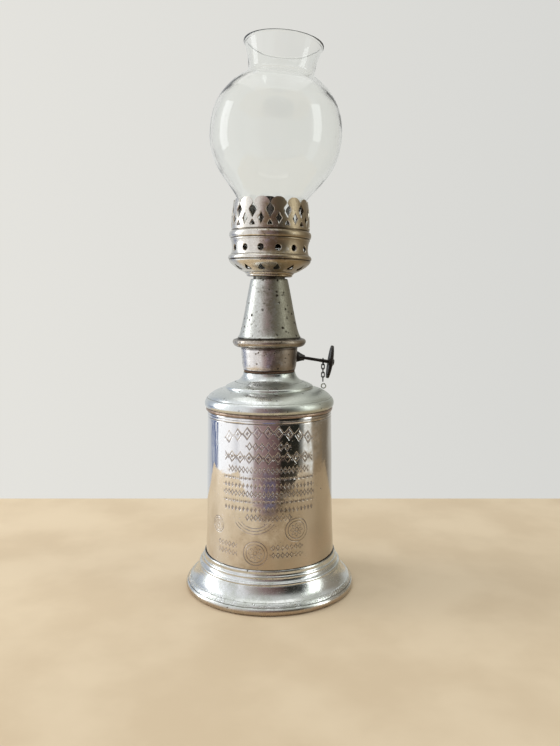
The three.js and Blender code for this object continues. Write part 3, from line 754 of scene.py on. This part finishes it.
# Shoulder: rolled edge, dome, step.
shoulder_outer = line(
    [(26.6, 80.4), (27.6, 80.4)],
    [(27.6, 80.4), (28.0, 80.75), (28.35, 81.5), (28.4, 82.3), (28.25, 83.2), (27.85, 84.05), (27.45, 84.5)],
    [(27.45, 84.5), (27.25, 84.62), (27.0, 84.95)],
    [(27.0, 84.95), (26.4, 85.65), (25.2, 86.55), (23.6, 87.45), (21.8, 88.1), (20.2, 88.45), (19.5, 88.55)],
    [(19.5, 88.55), (19.3, 88.7), (19.25, 89.15), (19.0, 89.6), (18.6, 89.85)],
    [(18.6, 89.85), (17.8, 90.25), (16.6, 90.8), (15.1, 91.35)],
    step=0.25,
)
shoulder_inner = line([(26.6, 80.4), (27.2, 82.2), (26.9, 83.6), (24.9, 85.9), (21.7, 87.45), (18.8, 88.1), (17.3, 89.5), (15.1, 90.45)], step=1.0)
shoulder = lathe("shoulder", shell(shoulder_outer, shoulder_inner), 224, 28, material=SHOULDER)
place(shoulder, "reservoir", "tarnished_nickel", "shoulder_dome")

# Filler neck, with its thread cut inside.
neck_outer = line([(10.8, 84.5), (13.2, 89.6)], [(13.2, 89.6), (14.85, 90.55)], [(14.85, 90.55), (14.9, 91.42)], [(14.9, 91.42), (13.9, 91.85), (13.0, 92.5), (12.2, 93.45), (11.65, 94.5), (11.4, 95.45)], [(11.4, 95.45), (11.25, 95.6), (11.0, 95.6)], step=0.25)
thread = [(9.7 + (0.18 if i % 2 else 0.0), 84.5 + i * (11.1 / 30)) for i in range(31)]
neck = lathe("filler_neck_flare", shell(neck_outer, [(9.75, 84.5), *thread[1:-1], (9.75, 95.6)]), 192, 28, material=SHOULDER)
place(neck, "reservoir", "tarnished_nickel", "filler_neck")

gasket = lathe("gasket_washer", shell(line([(9.6, 95.72), (11.0, 95.72)], [(11.0, 95.72), (11.15, 95.85), (11.15, 96.2), (11.0, 96.38)], [(11.0, 96.38), (9.6, 96.38)], step=0.1), [(9.55, 95.8), (9.55, 96.3)]), 160, 40,
               material=LEATHER, wobble=lambda r, z, a: (0.05 * math.sin(5 * a) + 0.03 * math.sin(17 * a)) if r > 10.5 else 0)
place(gasket, "gasket", "leather", "collar_gasket")

# Burner collar with thread on its spigot and the hole for the key.
KT = math.radians(9)
KEY_AXIS = Vector((math.cos(KT), 0, -math.sin(KT)))


def on_key(x):
    return Vector((x, 5.7, 99.3 + (27.4 - x) * math.tan(KT)))


def key_frame(x):
    """Millimetre frame whose +Z runs outwards along the key, as a metre matrix."""
    q = Vector((0, 0, 1)).rotation_difference(KEY_AXIS)
    return Matrix.Translation(on_key(x) * U) @ q.to_matrix().to_4x4()


spigot_thread = [(9.2 - (0.2 if i % 2 else 0.0), 86.6 + i * 0.5) for i in range(15)]
collar_outer = line(
    [(8.9, 86.0), (9.1, 86.3)], spigot_thread[:2], step=9) + spigot_thread[2:] + line(
    [(9.1, 94.2), (9.1, 96.5)], [(9.1, 96.5), (11.2, 96.5)], [(11.2, 96.5), (11.42, 96.65), (11.45, 96.95)],
    [(11.45, 96.95), (11.5, 97.2), (11.7, 97.9), (11.9, 99.2), (12.02, 101.0), (12.15, 102.8), (12.3, 104.4)],
    [(12.3, 104.4), (12.35, 105.4), (12.4, 106.4)], step=0.3)
collar_inner = line([(8.2, 86.0), (8.2, 97.5)], [(8.2, 97.5), (10.9, 98.1)], [(10.9, 98.1), (10.9, 106.4)], step=2.0)
collar = lathe("burner_collar_band", shell(collar_outer, collar_inner), 176, 28, material=COLLAR)
hole = lathe("hole", [(0, 0), (1.75, 0), (1.75, 9), (0, 9)], 40, 28, matrix=key_frame(6.5))
cut(collar, hole, 28)
place(collar, "burner", "worn_nickel", "burner_collar")

# Flange: undercut, half-round bead, dark groove.
flange_outer = line(
    [(12.6, 106.5), (13.6, 106.62), (14.6, 106.9), (15.3, 107.35), (15.75, 107.95), (16.0, 108.6), (15.98, 109.2), (15.7, 109.75), (15.2, 110.05), (14.7, 110.1)],
    [(14.7, 110.1), (14.5, 110.1), (14.35, 110.35), (14.2, 110.4)], step=0.18)
flange_inner = line([(5.2, 106.5), (5.2, 107.4)], [(5.2, 107.4), (11.0, 107.6), (12.2, 110.4)], step=1.0)
flange = lathe("burner_flange_bead", shell(flange_outer, flange_inner), 192, 28, material=FLANGE)
place(flange, "burner", "worn_nickel", "burner_flange")

cone_outer = line(
    [(13.5, 110.52), (13.72, 110.62), (13.75, 110.9)],
    [(13.75, 110.9), (13.35, 111.5), (12.9, 112.6), (12.3, 114.6), (11.8, 116.8), (11.3, 119.2), (10.75, 122.0), (10.2, 124.9), (9.65, 127.9), (9.05, 131.0), (8.5, 133.8), (8.2, 135.2), (8.02, 135.8)],
    [(8.02, 135.8), (7.8, 136.0), (6.95, 136.0)], [(6.95, 136.0), (6.9, 142.3)], [(6.9, 142.3), (6.75, 142.6), (6.5, 142.6)], step=0.4)
cone_inner = line([(12.7, 110.52), (10.9, 116.6), (9.5, 122.8), (8.2, 129.5), (6.3, 135.4)], [(6.3, 135.6), (6.3, 142.5)], step=1.5)
cone = lathe("burner_cone_spun", shell(cone_outer, cone_inner), 192, 28, material=CONE)
place(cone, "burner", "nickel", "burner_cone")

tube = lathe("wick_tube_drawn", shell(line([(3.85, 84.0), (4.0, 84.2)], [(4.0, 84.2), (4.0, 170.3)], [(4.0, 170.3), (3.95, 170.75), (3.75, 171.0), (3.45, 170.95)], step=2.0),
                                      line([(3.3, 84.0), (3.25, 84.4)], [(3.25, 84.4), (3.25, 170.6)], step=4.0)), 96, 28, material=SOOTY)
slot_tool = cutter("slot", [prism([(-1.7, -4.0), (1.7, -4.0), (1.7, 4.0), (-1.7, 4.0)], Matrix.Translation((0, 2.5, on_key(0).z)) @ Matrix.Rotation(math.pi / 2, 4, "X"), -3.0, 0.0)])
cut(tube, slot_tool, 28)
place(tube, "burner", "dark_steel", "wick_tube")

wick = lathe("wick_braided", [(0, 24.0), (2.6, 24.0), (2.9, 24.4)] + [(2.9, 24.4 + i * 2.0) for i in range(1, 73)] + line([(2.9, 169.6), (2.88, 170.6), (2.6, 171.25), (1.9, 171.6), (1.0, 171.4), (0, 171.5)], step=0.2), 72, 60,
             material=WICK, wobble=lambda r, z, a: (0.10 * math.sin(5 * a + z) * math.sin(9 * a) - 0.05) if z > 169.8 and r > 0.5 else 0)
place(wick, "wick", "cotton", "wick")

# Key: gland cone, spindle, milled dished knob, rivet.
gland = lathe("key_gland_cone", line([(0.95, 0), (2.1, 0)], [(2.1, 0), (2.4, 0.15), (2.45, 0.6), (2.25, 1.3), (1.75, 2.4), (1.35, 3.5), (1.25, 3.9)], [(1.25, 3.9), (1.2, 4.15), (0.95, 4.2)], [(0.95, 4.2), (0.95, 0)], step=0.12), 64, 30,
              matrix=key_frame(11.6), material=DARK)
keep_out = lathe("keep_out", [(0, 90), (12.62, 90), (12.62, 112), (0, 112)], 160, 30)
cut(gland, keep_out, 30)
place(gland, "burner", "dark_steel", "key_gland")

spindle_len = (on_key(-3.4) - on_key(28.1)).length
spindle = lathe("key_spindle_rod", line([(0, 0), (0.55, 0)], [(0.55, 0), (0.7, 0.15)], [(0.7, 0.15), (0.7, spindle_len - 6.0)], [(0.7, spindle_len - 6.0), (0.78, spindle_len - 5.0), (0.78, spindle_len - 0.2)], [(0.78, spindle_len - 0.2), (0.6, spindle_len)], [(0.6, spindle_len), (0, spindle_len)], step=0.5), 48, 30,
                matrix=key_frame(-3.4), material=DARK)
place(spindle, "wick_key", "dark_steel", "key_spindle")


def milled(r, z, a):
    return (-0.16 * (0.5 + 0.5 * math.cos(64 * a)) ** 1.5) if r > 7.15 else 0.0


knob = lathe("key_knob_dished", line(
    [(0.85, -0.1), (1.45, -0.1)], [(1.45, -0.1), (1.7, 0.1), (1.9, 0.6), (2.4, 0.85)], [(2.4, 0.85), (4.2, 0.8), (5.6, 0.5), (6.5, 0.15), (6.9, -0.02)],
    [(6.9, -0.02), (7.3, 0.0), (7.4, 0.3), (7.4, 0.9), (7.25, 1.15)], [(7.25, 1.15), (6.6, 1.28), (5.5, 1.52), (4.0, 1.72), (2.0, 1.75)], [(2.0, 1.75), (0.85, 1.75)], [(0.85, 1.75), (0.85, -0.1)], step=0.2), 384, 34,
    matrix=key_frame(26.5), material=DARK, wobble=milled)
place(knob, "wick_key", "dark_steel", "key_knob")
rivet = lathe("knob_rivet_head", line([(0, 0), (1.4, 0)], [(1.4, 0), (1.5, 0.1), (1.35, 0.35), (0.9, 0.58), (0.4, 0.66), (0, 0.68)], step=0.08), 48, 40, matrix=key_frame(28.4), material=DARK)
place(rivet, "wick_key", "dark_steel", "knob_rivet")

# Chain: loose ring on the spindle, oval links, wire eyelet on the shoulder.
top = on_key(24.0)
ring_z = top.z - 0.45
ring_path = [(top.x, top.y + 1.5 * math.cos(t), ring_z + 1.5 * math.sin(t)) for t in (2 * math.pi * i / 48 for i in range(48))]
ring = swept_ring("chain_ring_loose", ring_path, 0.28, 14, material=DARK)
place(ring, "chain_ring", "dark_steel", "chain_ring")
WIRE, LINK_L, LINK_W = 0.23, 2.9, 1.75
link_top = ring_z - 1.5 + 0.28 + 2 * WIRE + 0.08
pitch = LINK_L - 4 * WIRE - 0.14
for i in range(4):
    zc = link_top - LINK_L / 2 - i * pitch
    w, h = LINK_W / 2 - WIRE, LINK_L / 2 - LINK_W / 2
    path = []
    for k in range(17):
        t = math.pi * k / 16
        path.append((w * math.cos(t), h + w * math.sin(t)))
    for k in range(1, 4):
        path.append((-w, h - 2 * h * k / 4))
    for k in range(17):
        t = math.pi + math.pi * k / 16
        path.append((w * math.cos(t), -h + w * math.sin(t)))
    for k in range(1, 4):
        path.append((w, -h + 2 * h * k / 4))
    pts = [((top.x + u, top.y, zc + v) if i % 2 == 0 else (top.x, top.y + u, zc + v)) for u, v in path]
    link = swept_ring(f"chain_link_{i + 1}_oval", pts, WIRE, 12, material=DARK)
    place(link, f"chain_link_{i + 1}", "dark_steel", f"chain_link_{i + 1}")
eye_path = [(24.3 + 1.0 * math.cos(t), 5.7, 88.5 + 1.0 * math.sin(t)) for t in (2 * math.pi * i / 40 for i in range(40))]
eyelet = swept_ring("shoulder_eyelet_wire", eye_path, 0.27, 14, material=SHOULDER)
below = lathe("below", [(0, 80), (28.5, 80), (28.5, 83.4), (27.0, 85.25), (26.4, 85.8), (25.2, 86.7), (23.6, 87.6), (21.8, 88.25), (20.0, 88.6), (0, 88.6)], 160, 30)
cut(eyelet, below, 60)
place(eyelet, "reservoir", "dark_steel", "shoulder_eyelet")

# Gallery, slightly askew on the cone.
GM = Matrix.Translation(Vector((0.1, 0, 137.0)) * U) @ Matrix.Rotation(math.radians(1.3), 4, "Y") @ Matrix.Translation(Vector((0, 0, -137.0)) * U)
UNITS = 14
neck_ring = lathe("gallery_neck", shell(line([(8.6, 137.0), (9.2, 136.95)], [(9.2, 136.95), (9.75, 137.15), (9.95, 137.5), (9.85, 137.8)], [(9.85, 137.8), (10.1, 137.95), (10.5, 138.3), (10.62, 138.6)], step=0.15),
                                        line([(7.3, 137.0), (7.25, 137.2)], [(7.25, 137.2), (7.25, 138.6)], step=1.0)), 160, 28, matrix=GM, material=GALLERY)
place(neck_ring, "gallery", "nickel", "gallery_neck_ring")


def spline_closed(points, per=6):
    """A smooth closed outline through the points."""
    out = []
    n = len(points)
    for i in range(n):
        p0, p1, p2, p3 = (Vector((*points[(i + k - 1) % n], 0)) for k in range(4))
        for k in range(per):
            t = k / per
            c = 0.5 * ((2 * p1) + (p2 - p0) * t + (2 * p0 - 5 * p1 + 4 * p2 - p3) * t * t + (3 * p1 - p0 - 3 * p2 + p3) * t ** 3)
            out.append((c.x, c.y))
    return out


def spline_open(points, per=7):
    return catmull(points, 0.22)


bowl_outer = line([(7.25, 138.65), (10.7, 138.65)], [(10.7, 138.65), (11.6, 138.95), (13.0, 139.65), (14.6, 140.6), (16.0, 141.6), (17.0, 142.5), (17.6, 143.3), (17.75, 143.75)], [(17.75, 143.75), (17.6, 143.95), (17.2, 144.0)], step=0.3)
bowl_inner = line([(7.25, 139.1), (10.6, 139.1)], [(10.6, 139.1), (11.5, 139.4), (12.85, 140.08), (14.4, 141.0), (15.75, 141.95), (16.7, 142.8), (17.15, 143.5), (17.2, 143.95)], step=0.35)
bowl = lathe("gallery_bowl_pierced", shell(bowl_outer, bowl_inner), 210, 28, matrix=GM, material=GALLERY)
drop = spline_closed([(0, 2.4), (0.6, 1.25), (1.25, 0.2), (1.5, -0.8), (1.0, -1.5), (0, -1.7), (-1.0, -1.5), (-1.5, -0.8), (-1.25, 0.2), (-0.6, 1.25)], 4)
drops = []
for i in range(UNITS):
    az = (i + 0.5) * 2 * math.pi / UNITS - math.pi / 2
    m = Matrix.Rotation(az, 4, "Z") @ Matrix.Translation((14.25, 0, 140.85)) @ Matrix.Rotation(-math.radians(31), 4, "Y") @ Matrix.Rotation(-math.pi / 2, 4, "Z")
    drops.append(stepped(drop, m, [(-2.4, 0.16), (-0.52, 0.16), (-0.36, 0.0), (2.2, 0.0)]))
tool = cutter("drops", drops, (GALLERY, RIM))
tool.data.transform(GM)
cut(bowl, tool, 28)
place(bowl, "gallery", "nickel", "gallery_bowl")

crown_outer = line(
    [(17.1, 144.1), (17.7, 144.12)],
    [(17.7, 144.12), (18.0, 144.35), (18.08, 144.8), (17.95, 145.35), (17.6, 145.85), (17.3, 146.05)],
    [(17.3, 146.05), (17.05, 146.1), (16.95, 146.3)],
    [(16.95, 146.3), (16.7, 147.0), (16.5, 148.0), (16.45, 149.2), (16.55, 150.4), (16.75, 151.5), (16.95, 152.2)],
    [(16.95, 152.2), (17.15, 152.35), (17.2, 152.6), (17.15, 152.9), (16.95, 153.05)],
    [(16.95, 153.05), (17.35, 153.3), (17.62, 153.85), (17.72, 154.55), (17.62, 155.25), (17.32, 155.85), (16.95, 156.1)],
    [(16.95, 156.1), (16.72, 156.25), (16.72, 156.55), (16.9, 156.7)],
    [(16.9, 156.7), (16.95, 157.5), (16.9, 159.5), (16.78, 162.0), (16.5, 165.0), (16.1, 167.8), (15.85, 169.25)],
    step=0.3)
crown_inner = line([(16.6, 144.1), (16.5, 146.0), (16.1, 147.4), (15.95, 149.0), (16.05, 150.6), (16.3, 152.0), (16.55, 153.4), (16.7, 154.6), (16.5, 155.8), (16.35, 157.0), (16.4, 159.5), (16.28, 162.0), (16.0, 165.0), (15.62, 167.8), (15.38, 169.25)], step=0.5)
crown = lathe("gallery_crown_pierced", shell(crown_outer, crown_inner), 294, 28, matrix=GM, material=GALLERY)

# Between two petals: a pointed oval that pinches to a narrow throat, then opens round the petals' rounded tops.
half = [(0, -2.95), (0.5, -2.05), (1.15, -1.0), (1.6, -0.1), (1.62, 0.5), (1.25, 1.3), (0.62, 2.1), (0.2, 2.9)]
half2 = [(0.2, 2.9), (0.32, 3.4), (0.8, 4.2), (1.6, 4.95), (2.6, 5.4), (3.72, 5.52)]
right = catmull(half, 0.3) + catmull(half2, 0.25)[1:] + [(3.72, 8.0)]
gap = right + [(-x, y) for x, y in reversed(right[1:])]
lozenge = [(0, 2.3), (0.32, 1.6), (0.75, 0.85), (1.3, 0), (0.75, -0.85), (0.32, -1.6), (0, -2.3), (-0.32, -1.6), (-0.75, -0.85), (-1.3, 0), (-0.75, 0.85), (-0.32, 1.6)]
tri = spline_closed([(0, 1.2), (0.45, 0.55), (1.0, -0.45), (0.8, -0.85), (0, -0.75), (-0.8, -0.85), (-1.0, -0.45), (-0.45, 0.55)], 3)
disc = [(1.3 * math.cos(2 * math.pi * i / 32), 1.3 * math.sin(2 * math.pi * i / 32)) for i in range(32)]


def radial(outline, az, z, face=16.75, r0=14.0, r1=20.0):
    # local x: sideways, local y: up, local z: outwards
    m = Matrix.Rotation(az, 4, "Z") @ Matrix.Translation((0, 0, z)) @ Matrix(((0, 0, 1, 0), (1, 0, 0, 0), (0, 1, 0, 0), (0, 0, 0, 1)))
    return stepped(outline, m, [(r0, 0.0), (face - 0.22, 0.0), (face + 0.02, 0.24), (r1, 0.24)])


gaps, holes = [], []
for i in range(UNITS):
    between = i * 2 * math.pi / UNITS - math.pi / 2
    middle = between + math.pi / UNITS
    gaps.append(radial(gap, between, 163.8, 16.45))
    holes.append(radial(tri, between, 158.6, 16.85))
    holes.append(radial(lozenge, middle, 160.5, 16.8))
    holes.append(radial(disc, middle, 148.7, 16.45))
for name, group in (("gaps", gaps[0::2]), ("gaps2", gaps[1::2]), ("holes", holes)):
    tool = cutter(name, group, (GALLERY, RIM))
    tool.data.transform(GM)
    cut(crown, tool, 28)
place(crown, "gallery", "nickel", "gallery_crown")

# Chimney: thin ball with a flared, fire-polished mouth, leaning in its crown.
CM = Matrix.Translation(Vector((0.22, 0, 165.0)) * U) @ Matrix.Rotation(math.radians(5.05), 4, "Y")
glass_outer = line(
    [(13.35, -16.55), (13.55, -16.3), (13.6, -15.5), (13.6, -8.0), (13.6, 0.2), (13.68, 1.8), (14.15, 3.7), (15.2, 5.6), (17.0, 7.9), (19.4, 10.9), (22.2, 14.3), (24.6, 17.9), (26.5, 22.2), (27.6, 26.6), (27.95, 31.0), (27.7, 36.0), (26.9, 40.4), (25.3, 44.6), (23.0, 48.2), (20.3, 51.4), (17.7, 53.7), (15.6, 55.1), (14.3, 56.2), (13.95, 57.5), (14.0, 59.0), (14.5, 62.0), (15.4, 65.4), (16.45, 68.3)],
    [(16.45, 68.3), (16.8, 68.6), (16.88, 68.95), (16.7, 69.25), (16.3, 69.35)], step=0.9)
glass_inner = line(
    [(12.75, -16.55), (12.5, -16.2), (12.5, -8.0), (12.5, 0.4), (12.6, 2.2), (13.1, 4.2), (14.2, 6.3), (16.0, 8.8), (18.4, 11.8), (21.2, 15.2), (23.6, 18.7), (25.4, 22.7), (26.5, 26.8), (26.85, 31.0), (26.6, 35.7), (25.8, 39.9), (24.3, 43.9), (22.0, 47.3), (19.4, 50.3), (16.9, 52.5), (14.7, 54.0), (13.3, 55.4), (12.85, 57.3), (12.9, 59.1), (13.4, 62.2), (14.4, 65.7), (15.4, 68.3)],
    [(15.4, 68.3), (15.5, 68.8), (15.8, 69.22), (16.3, 69.35)], step=0.9)


def blown(r, z, a):
    return 0.10 * math.sin(2 * a + 0.5 + z * 0.03) + 0.05 * math.sin(3 * a - z * 0.05)


chimney = lathe("chimney_blown", shell(glass_outer, glass_inner[:-1]), 224, 50, matrix=CM, material=GLASS, wobble=blown)
place(chimney, "chimney", "glass", "chimney_glass")

# Inner pieces keep their CAD shape.
keep("wadding", FELT)
keep("gauze_well", GAUZE)
keep("tube_washer", BRASS)
keep("gland_packing", PACK)
keep("spindle_bracket", BRASS)
keep("spur_wheel", BRASS)


# ------------------------------------------------------------------ stage and light
def stage_material():
    n = Nodes("floor_plain")
    grain = n.noise(0.02, 4.0, 0.5)
    colour = n.mix(n.ramp(grain, 0.35, 0.65), (0.62, 0.495, 0.335), (0.69, 0.565, 0.395))
    return n.set(Base_Color=colour, Roughness=0.62, Specular_IOR_Level=0.25)


me = bpy.data.meshes.new("floor")
bm = bmesh.new()
bmesh.ops.create_cube(bm, size=1.0)
bmesh.ops.scale(bm, vec=(0.50, 0.297, 0.03), verts=bm.verts)
bmesh.ops.translate(bm, vec=(0, -0.0175, -0.015), verts=bm.verts)
bm.to_mesh(me)
bm.free()
floor = bpy.data.objects.new("floor", me)
floor.data.materials.append(stage_material())
scene.collection.objects.link(floor)


def area(name, where, look, size_x, size_y, power, colour=(1, 1, 1)):
    d = bpy.data.lights.new(name, "AREA")
    d.shape = "RECTANGLE"
    d.size, d.size_y, d.energy, d.color = size_x, size_y, power, colour
    o = bpy.data.objects.new(name, d)
    o.location = where
    o.rotation_euler = (Vector(look) - Vector(where)).to_track_quat("-Z", "Y").to_euler()
    scene.collection.objects.link(o)
    o.visible_transmission = False  # never seen straight through the glass
    return o


area("window_left", (-0.945, 0.14, 0.40), (0, 0, 0.19), 0.34, 0.80, 2.2, (0.94, 0.97, 1.0))
area("window_right", (0.96, -0.27, 0.40), (0, 0, 0.19), 0.32, 0.80, 2.0, (0.95, 1.0, 0.98))
area("top_soft", (0.0, 0.1, 1.4), (0, 0, 0.1), 1.4, 1.4, 4.0, (1.0, 0.99, 0.97))
low = area("table_left", (-0.50, -0.02, 0.30), (-0.12, -0.02, 0.0), 0.30, 0.30, 0.9, (1.0, 0.97, 0.93))
low.visible_glossy = False
low.visible_transmission = False

world = bpy.data.worlds.new("room")
scene.world = world
world.use_nodes = True
wt = world.node_tree
wt.nodes.clear()
w_out = wt.nodes.new("ShaderNodeOutputWorld")


def wmath(op, a, b=0.0):
    n = wt.nodes.new("ShaderNodeMath")
    n.operation = op
    for i, v in enumerate((a, b)):
        if isinstance(v, bpy.types.NodeSocket):
            wt.links.new(v, n.inputs[i])
        else:
            n.inputs[i].default_value = v
    return n.outputs[0]


w_tc = wt.nodes.new("ShaderNodeTexCoord")
w_xyz = wt.nodes.new("ShaderNodeSeparateXYZ")
wt.links.new(w_tc.outputs["Generated"], w_xyz.inputs[0])
w_noise = wt.nodes.new("ShaderNodeTexNoise")
wt.links.new(w_tc.outputs["Generated"], w_noise.inputs["Vector"])
w_noise.inputs["Scale"].default_value = 3.0
w_noise.inputs["Detail"].default_value = 3.0
turn = wmath("DIVIDE", wmath("ARCTAN2", w_xyz.outputs[0], wmath("MULTIPLY", w_xyz.outputs[1], -1.0)), 2 * math.pi)
turn = wmath("ADD", turn, wmath("MULTIPLY", wmath("SUBTRACT", w_noise.outputs[0], 0.5), 0.05))
turn = wmath("ADD", turn, 0.5)
w_ramp = wt.nodes.new("ShaderNodeValToRGB")
wt.links.new(turn, w_ramp.inputs[0])
stops = [(-180, (0.74, 0.75, 0.73)), (-150, (0.70, 0.72, 0.73)), (-133, (0.52, 0.56, 0.64)), (-118, (0.62, 0.67, 0.77)), (-109, (1.22, 1.26, 1.30)), (-74, (1.16, 1.17, 1.20)),
         (-60, (0.84, 0.85, 0.89)), (-52, (1.05, 1.05, 1.08)), (-38, (0.92, 0.91, 0.93)), (-28, (0.74, 0.68, 0.68)), (-25, (0.46, 0.37, 0.37)), (-10, (0.34, 0.235, 0.23)), (4, (0.20, 0.125, 0.12)),
         (20, (0.13, 0.082, 0.075)), (24, (0.020, 0.019, 0.015)), (56, (0.020, 0.022, 0.017)), (62, (0.30, 0.31, 0.29)), (66, (0.98, 1.02, 1.0)), (80, (1.0, 1.03, 1.0)), (87, (0.36, 0.32, 0.26)),
         (128, (0.27, 0.235, 0.185)), (145, (0.60, 0.60, 0.57)), (180, (0.74, 0.75, 0.73))]
els = w_ramp.color_ramp.elements
while len(els) < len(stops):
    els.new(0.5)
for el, (deg, col) in zip(els, stops):
    el.position = deg / 360 + 0.5
    el.color = (*col, 1)
w_up = wt.nodes.new("ShaderNodeMapRange")
w_up.interpolation_type = "SMOOTHSTEP"
wt.links.new(w_xyz.outputs[2], w_up.inputs[0])
w_up.inputs[1].default_value, w_up.inputs[2].default_value = 0.45, 0.80
w_mix = wt.nodes.new("ShaderNodeMix")
w_mix.data_type = "RGBA"
wt.links.new(w_up.outputs[0], w_mix.inputs["Factor"])
A = [s for s in w_mix.inputs if s.name == "A" and s.type == "RGBA"][0]
B = [s for s in w_mix.inputs if s.name == "B" and s.type == "RGBA"][0]


def band(value, lo, hi, soft):
    """1 between lo and hi, with soft edges."""
    out = None
    for a, b in ((lo - soft, lo + soft), (hi + soft, hi - soft)):
        n = wt.nodes.new("ShaderNodeMapRange")
        n.interpolation_type = "SMOOTHSTEP"
        wt.links.new(value, n.inputs[0])
        n.inputs[1].default_value, n.inputs[2].default_value = a, b
        out = n.outputs[0] if out is None else wmath("MULTIPLY", out, n.outputs[0])
    return out


def over(under, mask, colour):
    n = wt.nodes.new("ShaderNodeMix")
    n.data_type = "RGBA"
    wt.links.new(mask, n.inputs["Factor"])
    wt.links.new(under, [q for q in n.inputs if q.name == "A" and q.type == "RGBA"][0])
    [q for q in n.inputs if q.name == "B" and q.type == "RGBA"][0].default_value = (*colour, 1)
    return [q for q in n.outputs if q.type == "RGBA"][0]


w_deg = wmath("MULTIPLY", wmath("SUBTRACT", turn, 0.5), 360.0)
w_el = w_xyz.outputs[2]
room = w_ramp.outputs[0]
room = over(room, wmath("MULTIPLY", band(w_deg, 27.0, 66.0, 2.0), band(w_el, -0.6, -0.245, 0.012)), (0.27, 0.21, 0.17))
room = over(room, wmath("MULTIPLY", band(w_deg, -10.0, 12.0, 5.0), band(w_el, -0.5, -0.235, 0.045)), (0.17, 0.165, 0.27))
room = over(room, wmath("MULTIPLY", band(w_deg, 83.0, 113.0, 1.5), band(w_el, -2.0, -0.185, 0.006)), (0.46, 0.36, 0.24))
speckle = wt.nodes.new("ShaderNodeTexNoise")
wt.links.new(w_tc.outputs["Generated"], speckle.inputs["Vector"])
speckle.inputs["Scale"].default_value = 26.0
speckle.inputs["Detail"].default_value = 4.0
room = over(room, wmath("MULTIPLY", band(w_deg, -132.0, -106.0, 2.0), wmath("MULTIPLY", band(w_el, -0.24, -0.02, 0.03), band(speckle.outputs[0], 0.50, 2.0, 0.03))), (0.07, 0.12, 0.30))
wt.links.new(room, A)
w_high = over(wt.nodes.new("ShaderNodeRGB").outputs[0], band(w_deg, -125.0, -18.0, 12.0), (1.0, 1.01, 1.03))
w_high.node.inputs["Factor"].links[0].to_node.name = "upper"
[q for q in w_high.node.inputs if q.name == "A" and q.type == "RGBA"][0].links[0].from_node.outputs[0].default_value = (0.68, 0.69, 0.67, 1)
wt.links.new(w_high, B)
w_room = wt.nodes.new("ShaderNodeBackground")
wt.links.new([s for s in w_mix.outputs if s.type == "RGBA"][0], w_room.inputs[0])
w_plain = wt.nodes.new("ShaderNodeBackground")
# painted light: the plain wall seen by the camera is lighter at the left, towards the window, and darker at the right
w_side = wt.nodes.new("ShaderNodeMapRange")
wt.links.new(w_xyz.outputs[0], w_side.inputs[0])
w_side.inputs[1].default_value, w_side.inputs[2].default_value = -0.35, 0.35
w_wall = wt.nodes.new("ShaderNodeMix")
w_wall.data_type = "RGBA"
wt.links.new(w_side.outputs[0], w_wall.inputs["Factor"])
[q for q in w_wall.inputs if q.name == "A" and q.type == "RGBA"][0].default_value = (0.775, 0.765, 0.725, 1)
[q for q in w_wall.inputs if q.name == "B" and q.type == "RGBA"][0].default_value = (0.685, 0.685, 0.66, 1)
wt.links.new([q for q in w_wall.outputs if q.type == "RGBA"][0], w_plain.inputs[0])
w_path = wt.nodes.new("ShaderNodeLightPath")
seen = wmath("MAXIMUM", w_path.outputs["Is Camera Ray"], w_path.outputs["Is Transmission Ray"])
w_sw = wt.nodes.new("ShaderNodeMixShader")
wt.links.new(seen, w_sw.inputs[0])
wt.links.new(w_room.outputs[0], w_sw.inputs[1])
wt.links.new(w_plain.outputs[0], w_sw.inputs[2])
wt.links.new(w_sw.outputs[0], w_out.inputs[0])
